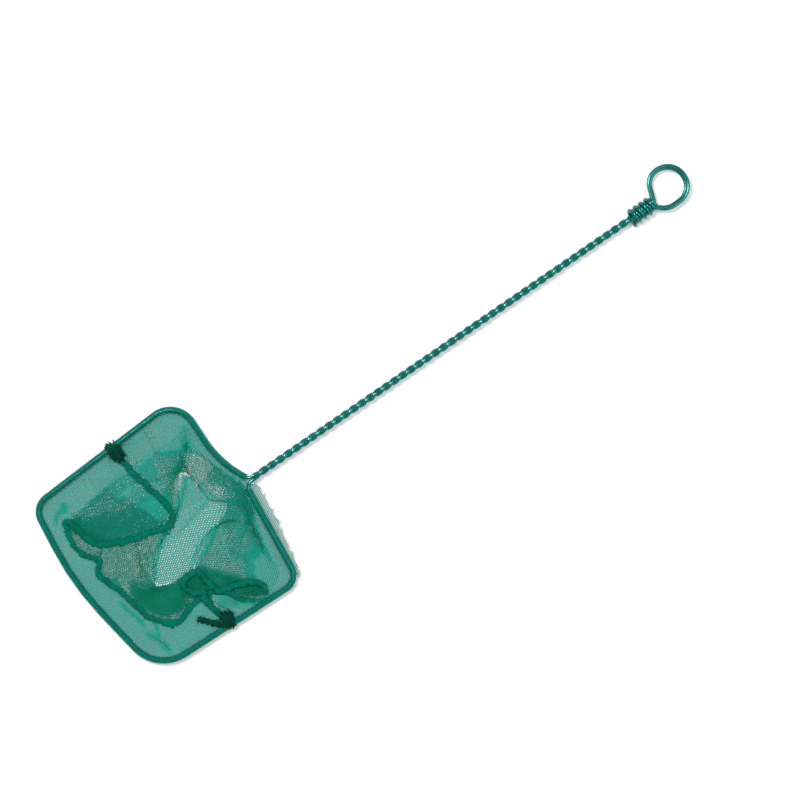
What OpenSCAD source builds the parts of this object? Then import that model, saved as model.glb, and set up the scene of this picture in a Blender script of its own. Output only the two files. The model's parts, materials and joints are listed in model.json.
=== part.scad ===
// Aquarium fish net: a coated wire bent to a hoop, twisted to a handle and closed to a hanging ring,
// with a two-panel netting bag that lies collapsed in the hoop.
// Millimetres. The handle lies along +X, the hoop at -X, and the net rests on z = 0.

/* [Mouth hoop] */
// Width of the hoop across the handle, to the middle of the wire
hoop_w = 122; // [90:1:160]
// Depth of the hoop from its far side to the neck, to the middle of the wire
hoop_d = 114; // [90:1:150]
// Radius of the upper near corner, to the middle of the wire
near_corner_r = 14.5; // [8:0.5:18]
// Radius of the upper far corner
far_corner_r = 10; // [6:0.5:16]
// Radius of the bow along the far side
far_bow_r = 165; // [100:5:250]
// Radius of the lower far corner
low_far_corner_r = 22; // [10:0.5:26]
// Radius of the lower near corner
low_near_corner_r = 9; // [6:0.5:14]
// Radius of the hollow shoulder between the upper near corner and the neck
shoulder_r = 60; // [30:1:80]
// Radius of the sharp bend from the handle into the shoulder
neck_bend_r = 2.9; // [2:0.1:4]
// Radius of the bend from the handle into the lower near side
low_neck_bend_r = 4.5; // [3:0.1:6]

/* [Wire] */
// Diameter of the wire over its coating
wire_d = 2; // [1.6:0.1:2.4]
// Diameter of the steel core
core_d = 1.2; // [0.8:0.1:1.4]

/* [Handle] */
// Length of the twisted pair from the neck to the foot of the hanging ring
handle_len = 269; // [150:1:350]
// Length of one full turn of the twist
twist_pitch = 11; // [8:0.5:16]
// Length over which the twist starts and ends
twist_ease = 5; // [3:0.5:10]

/* [Hanging ring] */
// Length of the ring along the handle, to the middle of the doubled wire
ring_len = 22.2; // [18:0.2:30]
// Height of the ring across the handle, to the middle of the doubled wire
ring_h = 21.4; // [18:0.2:28]
// Radius of the ring's round end
ring_r = 10.4; // [8:0.2:13]
// Length from the end of the handle to the foot of the ring
ring_foot = 3.3; // [2.5:0.1:4.5]
// Radius of the bend from the handle into the ring
ring_foot_r = 2.2; // [1.6:0.1:3]
// Angle of the doubled wire's pair from the plane of the ring
pair_angle = 53; // [30:1:70]

/* [Winding] */
// Turns of the doubled wire round the end of the handle
wrap_turns = 3.75; // [3:0.25:5]
// Advance of the winding in one turn
wrap_pitch = 3.6; // [3.4:0.1:5]
// Distance between the two wires of the winding along the handle
wrap_lean = 1.7; // [1.4:0.1:1.9]

/* [Netting] */
// Openings in a row across the net: a plain grid stands in for the fine mesh
net_openings = 12; // [6:1:12]
// Width of the netting left between two openings
net_bar_w = 3; // [2:0.5:5]
// Width of the netting left whole beside the hoop
net_rim_w = 2.5; // [2:0.5:6]
// Thickness of the hem sleeve round the wire
hem_t = 0.4; // [0.2:0.05:0.8]
// Width of the single-layer border between the hoop and the folded bag
border_w = 10; // [6:0.5:16]
// Thickness of the folded bag's lower layers
layer_t = 1; // [0.6:0.1:1.5]
// Thickness of the folds that lie on the lower layers
fold_t = 0.6; // [0.3:0.1:1]
// Width of the rolled seam
seam_w = 3.4; // [2:0.1:4]
// Height of the rolled seam
seam_h = 1; // [0.6:0.1:1.2]
// Diameter of the hem thread
thread_d = 0.5; // [0.3:0.05:0.8]
// Diameter of the tacks that bunch the seam's ends round the wire
tack_d = 8; // [6:0.2:10]
// Width of the upper tack along the wire
tack_w = 8; // [5:0.5:10]
// Width of the lower tack along the wire
low_tack_w = 6; // [4:0.5:10]
// Widest reach of the raw hem outside the wire
raw_hem_w = 6.4; // [3:0.2:10]

/* [Hidden] */

wire_color = [0.03, 0.40, 0.33];
steel_color = [0.72, 0.74, 0.76];
net_color = [0.36, 0.68, 0.60];
hem_color = [0.10, 0.50, 0.41];
seam_color = [0.01, 0.41, 0.31];
tack_color = [0.01, 0.24, 0.18];

// Clearance between pieces that touch on the real net
touch_gap = 0.04;
// Facets of a full exact circle
$fn = 48;

wire_r = wire_d / 2;
core_r = core_d / 2;
// Half the distance between the two wires of a pair
pair_r = wire_r + touch_gap / 2;
sleeve_in_r = wire_r + touch_gap;
sleeve_r = sleeve_in_r + hem_t;
thread_r = thread_d / 2;

// The hoop's corners, from the handle round by the upper side: place along and across as shares of
// the hoop's depth and width, then the shares of the sides before and after that the bend may use
corner_shares = [
    [-0.017, 0, 1, 0.15],
    [-0.091, 0.156, 0.8, 0.5],
    [-0.082, 0.498, 0.45, 0.5],
    [-0.960, 0.458, 0.45, 0.28],
    [-1.012, 0.066, 0.6, 0.5],
    [-0.918, -0.485, 0.4, 0.5],
    [-0.095, -0.506, 0.45, 0.5],
    [-0.045, 0, 0.4, 1]];
corner_radii = [neck_bend_r, shoulder_r, near_corner_r, far_corner_r, far_bow_r,
    low_far_corner_r, low_near_corner_r, low_neck_bend_r];
last_corner = len(corner_shares) - 1;
hoop_corners = [for (i = [0 : last_corner]) [
    corner_shares[i][0] * hoop_d,
    corner_shares[i][1] * hoop_w + (i == 0 ? pair_r : 0) - (i == last_corner ? pair_r : 0)]];
hoop_route = concat([[0, pair_r]], hoop_corners, [[0, -pair_r]]);
hoop_radii = concat([0], corner_radii, [0]);
hoop_takes = concat([[1, 1]], [for (c = corner_shares) [c[2], c[3]]], [[1, 1]]);

// Where the side tacks sit on the upper and lower sides, as a share of each side
tack_share = 0.46;
low_tack_share = 0.52;
up_a = hoop_route[3];
up_b = hoop_route[4];
low_a = hoop_route[6];
low_b = hoop_route[7];
tack_at = up_a + tack_share * (up_b - up_a);
low_tack_at = low_a + low_tack_share * (low_b - low_a);

// Directions in the plane of the hoop
function heading(v) = atan2(v[1], v[0]);
function unit(v) = v / norm(v);
function left_of(v) = [-v[1], v[0]];
function wrapped(a) = a > 180 ? a - 360 : a < -180 ? a + 360 : a;
function turn_at(p, i) = wrapped(heading(p[i + 1] - p[i]) - heading(p[i] - p[i - 1]));
function sign_of(a) = a < 0 ? -1 : 1;

// Radius of a bend, held to the lengths of the sides that it may use
function bend_r(p, r, t, i) = let(
    half = tan(abs(turn_at(p, i)) / 2),
    room = min(t[i][0] * norm(p[i] - p[i - 1]), t[i][1] * norm(p[i + 1] - p[i])))
    min(r[i], room / half);
function reach(p, r, t, i) = i == 0 || i == len(p) - 1 ? 0
    : bend_r(p, r, t, i) * tan(abs(turn_at(p, i)) / 2);
function bend_in(p, r, t, i) = i == 0 ? p[0] : p[i] - unit(p[i] - p[i - 1]) * reach(p, r, t, i);
function bend_out(p, r, t, i) = i == len(p) - 1 ? p[i] : p[i] + unit(p[i + 1] - p[i]) * reach(p, r, t, i);
function bend_centre(p, r, t, i) = bend_in(p, r, t, i)
    + left_of(unit(p[i] - p[i - 1])) * bend_r(p, r, t, i) * sign_of(turn_at(p, i));

// Points along a route, with each bend drawn in steps of at most bend_step degrees
bend_step = 15;
function bend_points(p, r, t, i) = let(
    c = bend_centre(p, r, t, i),
    a0 = heading(bend_in(p, r, t, i) - c),
    a = turn_at(p, i),
    n = max(2, ceil(abs(a) / bend_step)))
    [for (k = [0 : n]) c + bend_r(p, r, t, i) * [cos(a0 + a * k / n), sin(a0 + a * k / n)]];
function trace(p, r, t, lo, hi) = [for (i = [lo : hi]) each bend_points(p, r, t, i)];

// Sweeps a round tube along straight sides and round bends. The straights lap a little way into the
// bends, which are thicker by a hair, so that each joint is a clean step.
join_lap = 0.05;
join_step = 0.01;
module annulus(outer, inner) {
    difference() {
        circle(outer);
        if (inner > 0)
            circle(inner);
    }
}
module sweep_tube(p, r, t, outer, inner) {
    last = len(p) - 1;
    for (i = [0 : last - 1]) {
        a = bend_out(p, r, t, i);
        b = bend_in(p, r, t, i + 1);
        lap_a = i == 0 ? 0 : join_lap;
        lap_b = i + 1 == last ? 0 : join_lap;
        if (norm(b - a) > join_lap)
            translate([a[0], a[1], 0])
                rotate([0, 0, heading(b - a)])
                    rotate([90, 0, 90])
                        translate([0, 0, -lap_a])
                            linear_extrude(norm(b - a) + lap_a + lap_b)
                                annulus(outer, inner);
    }
    for (i = [1 : last - 1]) {
        c = bend_centre(p, r, t, i);
        a = turn_at(p, i);
        start = heading(bend_in(p, r, t, i) - c) + min(a, 0);
        translate([c[0], c[1], 0])
            rotate([0, 0, start])
                rotate_extrude(angle = abs(a))
                    translate([bend_r(p, r, t, i), 0])
                        annulus(outer + join_step, inner > 0 ? inner - join_step : 0);
    }
}

// Moves an open route sideways, to its left, which is the inside of the hoop
function inset_route(p, d) = [for (i = [0 : len(p) - 1]) let(
    before = i == 0 ? left_of(unit(p[1] - p[0])) : left_of(unit(p[i] - p[i - 1])),
    after = i == len(p) - 1 ? before : left_of(unit(p[i + 1] - p[i])))
    p[i] + (before + after) * d / (1 + before * after)];

// A tube along a length of the hoop: from point a, round corners lo to hi, to point b
module sweep_part(a, lo, hi, b, inset, outer, inner) {
    p = concat([a], [for (i = [lo : hi]) hoop_route[i]], [b]);
    r = concat([0], [for (i = [lo : hi]) bend_r(hoop_route, hoop_radii, hoop_takes, i)
        - inset * sign_of(turn_at(hoop_route, i))], [0]);
    t = [for (i = p) [1, 1]];
    sweep_tube(inset_route(p, inset), r, t, outer, inner);
}

// The twisted pair: the phase of the upper wire at a distance along the handle. It starts beside the
// other in the hoop's plane and ends at the angle that the pair has in the ring.
twist_turns = round((handle_len - twist_ease) / twist_pitch);
twist_total = pair_angle - 360 * twist_turns;
twist_rate = twist_total / (handle_len - twist_ease);
function phase(x) = x < twist_ease ? twist_rate * x * x / (2 * twist_ease)
    : x > handle_len - twist_ease
        ? twist_total - twist_rate * pow(handle_len - x, 2) / (2 * twist_ease)
        : twist_rate * (x - twist_ease / 2);
rings_per_turn = 8;
handle_rings = twist_turns * rings_per_turn;
function handle_points(side) = [for (k = [0 : handle_rings]) let(x = handle_len * k / handle_rings)
    [x, side * pair_r * cos(phase(x)), side * pair_r * sin(phase(x))]];

// The ring's route, from the end of the handle up its near leg, round and back by its lower leg
ring_far = handle_len + ring_foot + ring_len;
leg_run_share = 0.22;
ring_top_share = 0.66;
low_leg_share = 0.2;
leg_slope_share = 0.9;
ring_top = ring_top_share * ring_h;
ring_low = ring_top - ring_h;
ring_route = [
    [handle_len, 0],
    [handle_len + ring_foot, 0],
    [handle_len + ring_foot + leg_run_share * ring_len, ring_top],
    [ring_far, ring_top],
    [ring_far, ring_low],
    [handle_len + ring_foot + low_leg_share * ring_len, ring_low],
    [handle_len + ring_foot + low_leg_share * ring_len + leg_slope_share * ring_low,
        (1 - leg_slope_share) * ring_low]];
ring_radii = [0, ring_foot_r, ring_r, ring_r, ring_r, ring_r, 0];
ring_take_shares = [[1, 1], [1, 0.2], [0.7, 0.36], [0.6, 0.485], [0.485, 0.58], [0.38, 0.5], [1, 1]];

// The winding: its middle line climbs from the handle's surface, and its pair leans along the handle
wrap_rise = sqrt(pow(2 * pair_r, 2) - pow(wrap_lean, 2));
shank_r = pair_r + wire_r;
wrap_mid_r = shank_r + touch_gap + wire_r + wrap_rise / 2;
wrap_out_r = wrap_mid_r + wrap_rise / 2 + wire_r;
wrap_start_angle = 125;
wrap_start_share = 0.7;
wrap_start_x = handle_len + wrap_start_share * ring_foot;
wrap_rings_per_turn = 24;
wrap_rings = round(wrap_turns * wrap_rings_per_turn);
function wrap_angle(k) = wrap_start_angle - 360 * wrap_turns * k / wrap_rings;
function radial(a) = [0, cos(a), sin(a)];
function wrap_mid(k) = [wrap_start_x - wrap_pitch * wrap_turns * k / wrap_rings, 0, 0]
    + wrap_mid_r * radial(wrap_angle(k));
function wrap_dir(k) = unit([-wrap_pitch, 0, 0]
    + 2 * PI * wrap_mid_r * [0, sin(wrap_angle(k)), -cos(wrap_angle(k))]);
// Half the offset from one wire of the winding to the other
function wrap_offset(k) = ([-wrap_lean, 0, 0] + wrap_rise * radial(wrap_angle(k))) / 2;
wrap_tail = wire_d;
function wrap_points(side) = concat(
    [for (k = [0 : wrap_rings]) wrap_mid(k) + side * wrap_offset(k)],
    [wrap_mid(wrap_rings) + side * wrap_offset(wrap_rings) + wrap_tail * wrap_dir(wrap_rings)]);

// The ring's flat part and then the leg that lifts from it onto the winding
ring_flat = concat([ring_route[0]], trace(ring_route, ring_radii, ring_take_shares, 1, 5));
leg_from = ring_flat[len(ring_flat) - 1];
leg_dir = unit(ring_route[6] - ring_route[5]);
leg_rings = 8;
leg_pull_share = 0.4;
leg_a = [leg_from[0], leg_from[1], 0];
leg_d = wrap_mid(0);
leg_pull = leg_pull_share * norm(leg_d - leg_a);
leg_b = leg_a + leg_pull * [leg_dir[0], leg_dir[1], 0];
leg_c = leg_d - leg_pull * wrap_dir(0);
function blend(s) = pow(1 - s, 3) * leg_a + 3 * pow(1 - s, 2) * s * leg_b
    + 3 * (1 - s) * s * s * leg_c + pow(s, 3) * leg_d;
function pair_offset(dir) = pair_r * [cos(pair_angle) * left_of(dir)[0],
    cos(pair_angle) * left_of(dir)[1], sin(pair_angle)];
function flat_dir(i) = i == 0 ? [1, 0] : unit(ring_flat[min(i + 1, len(ring_flat) - 1)] - ring_flat[i - 1]);
function leg_offset(s) = pair_r * unit((1 - s) * pair_offset(leg_dir) + s * wrap_offset(0));
function ring_points(side) = concat(
    [for (i = [0 : len(ring_flat) - 2]) [ring_flat[i][0], ring_flat[i][1], 0]
        + side * pair_offset(flat_dir(i))],
    [for (k = [0 : leg_rings - 1]) blend(k / leg_rings) + side * leg_offset(k / leg_rings)],
    [leg_d + side * wrap_offset(0)]);

// A solid tube along points, with square ends that face the given directions
function tube_dir(p, i, first, last) = i == 0 ? first : i == len(p) - 1 ? last
    : unit(unit(p[i + 1] - p[i]) + unit(p[i] - p[i - 1]));
function tube_ring(at, dir, ref, wide, high, sides) = let(
    u = unit(cross(ref, dir)),
    v = cross(dir, u))
    [for (j = [0 : sides - 1]) at + wide * cos(360 * j / sides) * u + high * sin(360 * j / sides) * v];
module tube(p, first, last, ref, wide, high, sides) {
    n = len(p);
    rings = [for (i = [0 : n - 1]) each tube_ring(p[i], tube_dir(p, i, first, last), ref, wide, high, sides)];
    walls = [for (i = [0 : n - 2], j = [0 : sides - 1]) let(
        a = i * sides + j,
        b = i * sides + (j + 1) % sides)
        each [[a, b, b + sides], [a, b + sides, a + sides]]];
    ends = [[for (j = [sides - 1 : -1 : 0]) j], [for (j = [0 : sides - 1]) (n - 1) * sides + j]];
    polyhedron(rings, concat(walls, ends));
}
strand_sides = 6;

// Place of the whole net: the middle of its box is above the origin, and it rests on z = 0
far_side = bend_centre(hoop_route, hoop_radii, hoop_takes, 5)[0]
    - bend_r(hoop_route, hoop_radii, hoop_takes, 5) - sleeve_r;
near_end = ring_far + pair_r * cos(pair_angle) + wire_r;
low_side = min(hoop_route[7][1] - sleeve_r, low_tack_at[1] - tack_d / 2);
high_side = max(hoop_route[3][1] + sleeve_r, tack_at[1] + tack_d / 2);
shift = [-(far_side + near_end) / 2, -(low_side + high_side) / 2, wrap_out_r];
module placed() {
    translate(shift)
        children();
}

// The bag's outline inside the hoop: the hoop's corners, with one soft corner across the neck
neck_corner = [-0.044 * hoop_d, 0.01 * hoop_w];
neck_corner_r = 15;
bag_corners = concat([neck_corner], [for (i = [2 : 7]) hoop_route[i]]);
bag_radii = concat([neck_corner_r], [for (i = [2 : 7]) bend_r(hoop_route, hoop_radii, hoop_takes, i)]);
bag_count = len(bag_corners);
bag_closed = concat([bag_corners[bag_count - 1]], bag_corners, [bag_corners[0]]);
fold_corner_r = 3;
function bag_normal(i) = left_of(unit(bag_closed[i + 1] - bag_closed[i]));
function bag_inset(d) = [for (i = [1 : bag_count]) bag_closed[i]
    + (bag_normal(i - 1) + bag_normal(i)) * d / (1 + bag_normal(i - 1) * bag_normal(i))];
// Heights, measured from the middle of the wire down to the table
table_z = -wrap_out_r;
hem_foot_z = -sleeve_r - touch_gap;
layer_top_z = table_z + layer_t;
fold_top_z = layer_top_z + fold_t;
border_top_share = 0.25;
border_cut_share = 1.8;
border_top = border_top_share * hem_t;
border_cut = border_cut_share * hem_t;

// The two panels meet under a line from the upper tack to the lower one
split_x = (tack_at[0] + low_tack_at[0]) / 2;
fold_take_share = 0.45;
function on_split(a, b) = a + (b - a) * (split_x - a[0]) / (b[0] - a[0]);
function half_loop(d, far) = let(
    c = bag_inset(d),
    p = concat([c[bag_count - 1]], c, [c[0]]),
    r = concat([0], [for (i = [1 : bag_count])
        max(fold_corner_r, bag_radii[i - 1] - d * sign_of(turn_at(bag_closed, i)))], [0]),
    t = [for (i = p) [fold_take_share, fold_take_share]],
    up = on_split(p[3], p[4]),
    low = on_split(p[6], p[7]))
    far ? concat([up], trace(p, r, t, 4, 6), [low])
        : concat([low], bend_points(p, r, t, 7), trace(p, r, t, 1, 3), [up]);

// Half of the collapsed bag: a shallow tray whose sloping rim is the border of single netting
module half_tray(far) {
    profile = [[border_top, hem_foot_z], [border_w, table_z],
        [border_w + border_cut, layer_top_z], [border_top + border_cut, hem_foot_z]];
    loops = [for (q = profile) [for (v = half_loop(q[0], far)) [v[0], v[1], q[1]]]];
    n = len(loops[0]);
    last = n - 1;
    mid_y = (loops[1][0][1] + loops[1][last][1]) / 2;
    under = 4 * n;
    above = under + 1;
    function at(l, i) = (l % 4) * n + i;
    walls = [for (l = [0, 2, 3], i = [0 : last - 1])
        each [[at(l, i), at(l, i + 1), at(l + 1, i + 1)], [at(l, i), at(l + 1, i + 1), at(l + 1, i)]]];
    floors = [for (i = [0 : last - 1])
        each [[under, at(1, i), at(1, i + 1)], [above, at(2, i + 1), at(2, i)]]];
    cut = [[at(0, 0), at(1, 0), at(2, 0), at(3, 0)], [at(1, 0), under, above, at(2, 0)],
        [under, at(1, last), at(2, last), above], [at(1, last), at(0, last), at(3, last), at(2, last)]];
    polyhedron(concat([for (l = loops) each l],
        [[split_x, mid_y, table_z], [split_x, mid_y, layer_top_z]]), concat(walls, floors, cut));
}

// Folds of netting that lie double on each tray, as shares of the hoop's depth and width
far_fold_shares = [
    [[-0.84, 0.31], [-0.57, 0.35], [-0.50, 0.34], [-0.50, 0.05], [-0.64, 0.08], [-0.82, 0.17]],
    [[-0.81, -0.19], [-0.57, -0.20], [-0.50, -0.21], [-0.50, -0.31], [-0.62, -0.32], [-0.69, -0.34],
        [-0.74, -0.31], [-0.79, -0.26]]];
near_fold_shares = [
    [[-0.48, 0.33], [-0.44, 0.16], [-0.45, 0.06], [-0.48, 0.04]],
    [[-0.42, -0.35], [-0.35, -0.35], [-0.28, -0.37], [-0.27, -0.40], [-0.36, -0.41], [-0.40, -0.39]],
    [[-0.14, 0.05], [-0.16, -0.16], [-0.19, -0.20], [-0.30, -0.13], [-0.34, -0.06], [-0.24, 0.00]]];
module folds(shapes) {
    for (f = shapes)
        translate([0, 0, layer_top_z - layer_t / 2])
            linear_extrude(fold_t + layer_t / 2)
                polygon([for (q = f) [q[0] * hoop_d, q[1] * hoop_w]]);
}

// The grid of openings. Its middle column of netting lies over the split, and an opening is left out
// where a corner of it would come too near the hoop.
net_step = hoop_w / net_openings;
hole_w = net_step - net_bar_w;
cut_overrun = 1;
function crosses(q, a, b) = (a[1] > q[1]) != (b[1] > q[1])
    && q[0] < a[0] + (q[1] - a[1]) * (b[0] - a[0]) / (b[1] - a[1]);
function inside(q, p) = len([for (i = [0 : len(p) - 1])
    if (crosses(q, p[i], p[(i + 1) % len(p)])) i]) % 2 == 1;
function all_inside(m, p) = len([for (u = [-1, 1], v = [-1, 1])
    if (inside(m + hole_w / 2 * [u, v], p)) u]) == 4;
module openings(far) {
    rim = half_loop(net_rim_w, far);
    for (i = [0 : net_openings], j = [0 : net_openings]) {
        middle = [split_x + (far ? -1 : 1) * (i + 1 / 2) * net_step,
            (j - net_openings / 2) * net_step];
        if (all_inside(middle, rim))
            translate([middle[0] - hole_w / 2, middle[1] - hole_w / 2, table_z - cut_overrun])
                cube([hole_w, hole_w, -table_z + cut_overrun]);
    }
}

// The rolled seam's route over the bag: along and across as shares of the hoop's depth and width, then
// the height as a share of the seam's own, because it crosses itself beside the lower tack
seam_route_shares = [
    [-0.475, 0.405, 1.3], [-0.462, 0.33, 0.5], [-0.452, 0.27, 0], [-0.437, 0.20, 0], [-0.424, 0.14, 0],
    [-0.431, 0.075, 0], [-0.47, 0.042, 0], [-0.52, 0.052, 0], [-0.57, 0.065, 0], [-0.64, 0.075, 0],
    [-0.72, 0.11, 0], [-0.78, 0.138, 0], [-0.822, 0.17, 0], [-0.845, 0.235, 0], [-0.855, 0.29, 0],
    [-0.88, 0.315, 0], [-0.902, 0.28, 0], [-0.91, 0.22, 0], [-0.905, 0.165, 0], [-0.875, 0.10, 0],
    [-0.887, 0.045, 0], [-0.873, -0.01, 0], [-0.858, -0.075, 0], [-0.83, -0.13, 0], [-0.82, -0.19, 0],
    [-0.795, -0.265, 0], [-0.745, -0.325, 0], [-0.69, -0.352, 0], [-0.62, -0.335, 0], [-0.55, -0.32, 0],
    [-0.48, -0.33, 0], [-0.43, -0.362, 0], [-0.40, -0.405, 0.1], [-0.36, -0.435, 0.3],
    [-0.31, -0.444, 0.6], [-0.276, -0.425, 0.9], [-0.285, -0.39, 1.1], [-0.34, -0.358, 1.1],
    [-0.41, -0.335, 1.1], [-0.458, -0.295, 1.1], [-0.47, -0.24, 1.1], [-0.51, -0.205, 1.1],
    [-0.565, -0.215, 1.1], [-0.568, -0.262, 1.1], [-0.525, -0.295, 1.1], [-0.512, -0.34, 1.1],
    [-0.506, -0.385, 1.5], [-0.497, -0.425, 2.2]];
seam_z = fold_top_z + touch_gap + seam_h / 2;
seam_corners = [for (q = seam_route_shares) [q[0] * hoop_d, q[1] * hoop_w, seam_z + q[2] * seam_h]];
seam_last = len(seam_corners) - 1;
// One point halfway between each two corners, on a smooth curve through them
function seam_mid(i) = let(
    a = seam_corners[max(i - 1, 0)],
    b = seam_corners[i],
    c = seam_corners[i + 1],
    d = seam_corners[min(i + 2, seam_last)])
    (9 * (b + c) - a - d) / 16;
seam_points = concat([for (i = [0 : seam_last - 1]) each [seam_corners[i], seam_mid(i)]],
    [seam_corners[seam_last]]);
seam_sides = 8;

module hoop_core() {
    color(steel_color)
        placed()
            sweep_tube(hoop_route, hoop_radii, hoop_takes, core_r - 2 * join_step, 0);
}

module hoop_coating() {
    color(wire_color)
        placed()
            sweep_tube(hoop_route, hoop_radii, hoop_takes, wire_r, core_r);
}

module handle_strand(side) {
    color(wire_color)
        placed()
            tube(handle_points(side), [1, 0, 0], [1, 0, 0], [0, 0, 1], wire_r, wire_r, strand_sides);
}

module ring_strand(side) {
    color(wire_color)
        placed()
            tube(ring_points(side), [1, 0, 0], wrap_dir(0), [0, 0, 1], wire_r, wire_r, strand_sides);
}

module winding_strand(side) {
    color(wire_color)
        placed()
            tube(wrap_points(side), wrap_dir(0), wrap_dir(wrap_rings), [1, 0, 0], wire_r, wire_r,
                strand_sides);
}

// The steel shows at the cut ends of the winding, where the coating draws back a little
core_show = core_r / 2;
module cut_end_cores() {
    dir = wrap_dir(wrap_rings);
    color(steel_color)
        placed()
            for (side = [-1, 1])
                translate(wrap_points(side)[wrap_rings + 1])
                    rotate([0, acos(dir[2]), atan2(dir[1], dir[0])])
                        cylinder(h = core_show, r = core_r);
}

module net_far_panel() {
    color(net_color)
        placed()
            difference() {
                union() {
                    half_tray(true);
                    folds(far_fold_shares);
                }
                openings(true);
            }
}

module net_near_panel() {
    color(net_color)
        placed()
            difference() {
                union() {
                    half_tray(false);
                    folds(near_fold_shares);
                }
                openings(false);
            }
}

// Where the near panel's hem stops on each side of the neck, as shares of those sides
upper_hem_share = 0.14;
lower_hem_share = 0.9;
upper_hem_at = hoop_route[1] + upper_hem_share * (hoop_route[2] - hoop_route[1]);
lower_hem_at = hoop_route[7] + lower_hem_share * (hoop_route[8] - hoop_route[7]);
thread_inset = sleeve_r + touch_gap + thread_r;

module hem_far(inset, outer, inner) {
    placed()
        sweep_part(tack_at, 4, 6, low_tack_at, inset, outer, inner);
}

module hem_near_upper(inset, outer, inner) {
    placed()
        sweep_part(upper_hem_at, 2, 3, tack_at, inset, outer, inner);
}

module hem_near_lower(inset, outer, inner) {
    placed()
        sweep_part(low_tack_at, 7, 7, lower_hem_at, inset, outer, inner);
}

module hem_sleeve_far() {
    color(hem_color)
        hem_far(0, sleeve_r, sleeve_in_r);
}

module hem_sleeve_near_upper() {
    color(hem_color)
        hem_near_upper(0, sleeve_r, sleeve_in_r);
}

module hem_sleeve_near_lower() {
    color(hem_color)
        hem_near_lower(0, sleeve_r, sleeve_in_r);
}

module thread_cut() {
    // The tacks bury the hem threads, which stop short of them
    difference() {
        children();
        for (q = [[tack_at, tack_w], [low_tack_at, low_tack_w]])
            placed()
                translate([q[0][0] - q[1] / 2 - touch_gap, q[0][1] - tack_d, -tack_d])
                    cube([q[1] + 2 * touch_gap, 2 * tack_d, 2 * tack_d]);
    }
}

module hem_thread_far() {
    color(seam_color)
        thread_cut()
            hem_far(thread_inset, thread_r, 0);
}

module hem_thread_near_upper() {
    color(seam_color)
        thread_cut()
            hem_near_upper(thread_inset, thread_r, 0);
}

module hem_thread_near_lower() {
    color(seam_color)
        thread_cut()
            hem_near_lower(thread_inset, thread_r, 0);
}

// The raw hem outside the wire: places along the lower near side, and reach beyond the wire, as shares
raw_hem_shares = [[0.05, 0.45], [0.2, 0.62], [0.42, 0.9], [0.6, 0.96], [0.8, 1], [0.93, 0.98], [0.955, 0.7]];
module raw_hem_edge() {
    a = hoop_route[7];
    side = hoop_route[8] - a;
    out = -left_of(unit(side));
    last = len(raw_hem_shares) - 1;
    color(net_color)
        placed()
            translate([0, 0, hem_foot_z - hem_t])
                linear_extrude(hem_t)
                    polygon(concat([a + raw_hem_shares[last][0] * side, a + raw_hem_shares[0][0] * side],
                        [for (q = raw_hem_shares) a + q[0] * side + q[1] * raw_hem_w * out]));
}

module bag_seam() {
    color(seam_color)
        placed()
            tube(seam_points, unit(seam_points[1] - seam_points[0]),
                unit(seam_points[2 * seam_last] - seam_points[2 * seam_last - 1]),
                [0, 0, 1], seam_w / 2, seam_h / 2, seam_sides);
}

// A tack: thread wound in three bulges round the hem, and the gathered netting that runs from it to
// the end of the seam
bead_share = 0.2;
module tack_body(width) {
    bead_r = bead_share * width;
    rotate([0, 90, 0])
        rotate_extrude()
            difference() {
                union() {
                    for (k = [-1 : 1])
                        translate([tack_d / 2 - bead_r, k * (width / 2 - bead_r)])
                            circle(bead_r);
                    translate([sleeve_in_r, -width / 2 + bead_r / 2])
                        square([tack_d / 2 - bead_r - sleeve_in_r, width - bead_r]);
                }
                translate([0, -width])
                    square([sleeve_r + touch_gap, 2 * width]);
            }
}

// The gather runs from the tack's inner side to just before the end of the seam
gather_start_share = 0.85;
gather_r_share = 0.34;
gather_lift_share = 0.3;
module gather(at, inward, seam_end, seam_dir) {
    from = [at[0], at[1] + inward * gather_start_share * tack_d / 2, gather_lift_share * tack_d / 2];
    to = seam_end - touch_gap * seam_dir;
    run = to - from;
    translate(from)
        rotate([0, acos(run[2] / norm(run)), atan2(run[1], run[0])])
            cylinder(h = norm(run), r1 = gather_r_share * tack_d, r2 = seam_h / 2);
}

module side_tack_upper() {
    color(tack_color)
        placed() {
            translate([tack_at[0], tack_at[1], 0])
                rotate([0, 0, heading(up_b - up_a)])
                    tack_body(tack_w);
            gather(tack_at, -1, seam_points[0], unit(seam_points[1] - seam_points[0]));
        }
}

module side_tack_lower() {
    color(tack_color)
        placed() {
            translate([low_tack_at[0], low_tack_at[1], 0])
                rotate([0, 0, heading(low_b - low_a)])
                    tack_body(low_tack_w);
            gather(low_tack_at, 1, seam_points[2 * seam_last],
                unit(seam_points[2 * seam_last - 1] - seam_points[2 * seam_last]));
        }
}

// The loose tail of the seam's thread chain: steps from the lower tack's side, as shares of the tack
tail_r = 1.2;
tail_step_shares = [[0, 0, 0], [-0.28, 0.3, -0.13], [-0.68, 0.75, -0.27], [-1.1, 1.25, -0.3]];
tail_start_share = [0.25, 0.0625];
tail_start = [low_tack_at[0] - low_tack_w / 2 - tail_r, low_tack_at[1] + tail_start_share[0] * tack_d,
    tail_start_share[1] * tack_d];
tail_points = [for (q = tail_step_shares) tail_start + q * tack_d];
module seam_tail() {
    last = len(tail_points) - 1;
    color(tack_color)
        placed()
            tube(tail_points, unit(tail_points[1] - tail_points[0]),
                unit(tail_points[last] - tail_points[last - 1]), [0, 0, 1], tail_r, tail_r, seam_sides);
}

// Least gap between two parts of one wire in the winding, which lie at least half a turn apart
half_turn = wrap_rings_per_turn / 2;
winding_gap = min([for (side = [-1, 1]) let(w = wrap_points(side))
    for (i = [0 : len(w) - 1 - half_turn], j = [i + half_turn : len(w) - 1]) norm(w[i] - w[j])]) - wire_d;
echo("winding: least gap of a wire to itself", winding_gap);

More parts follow.
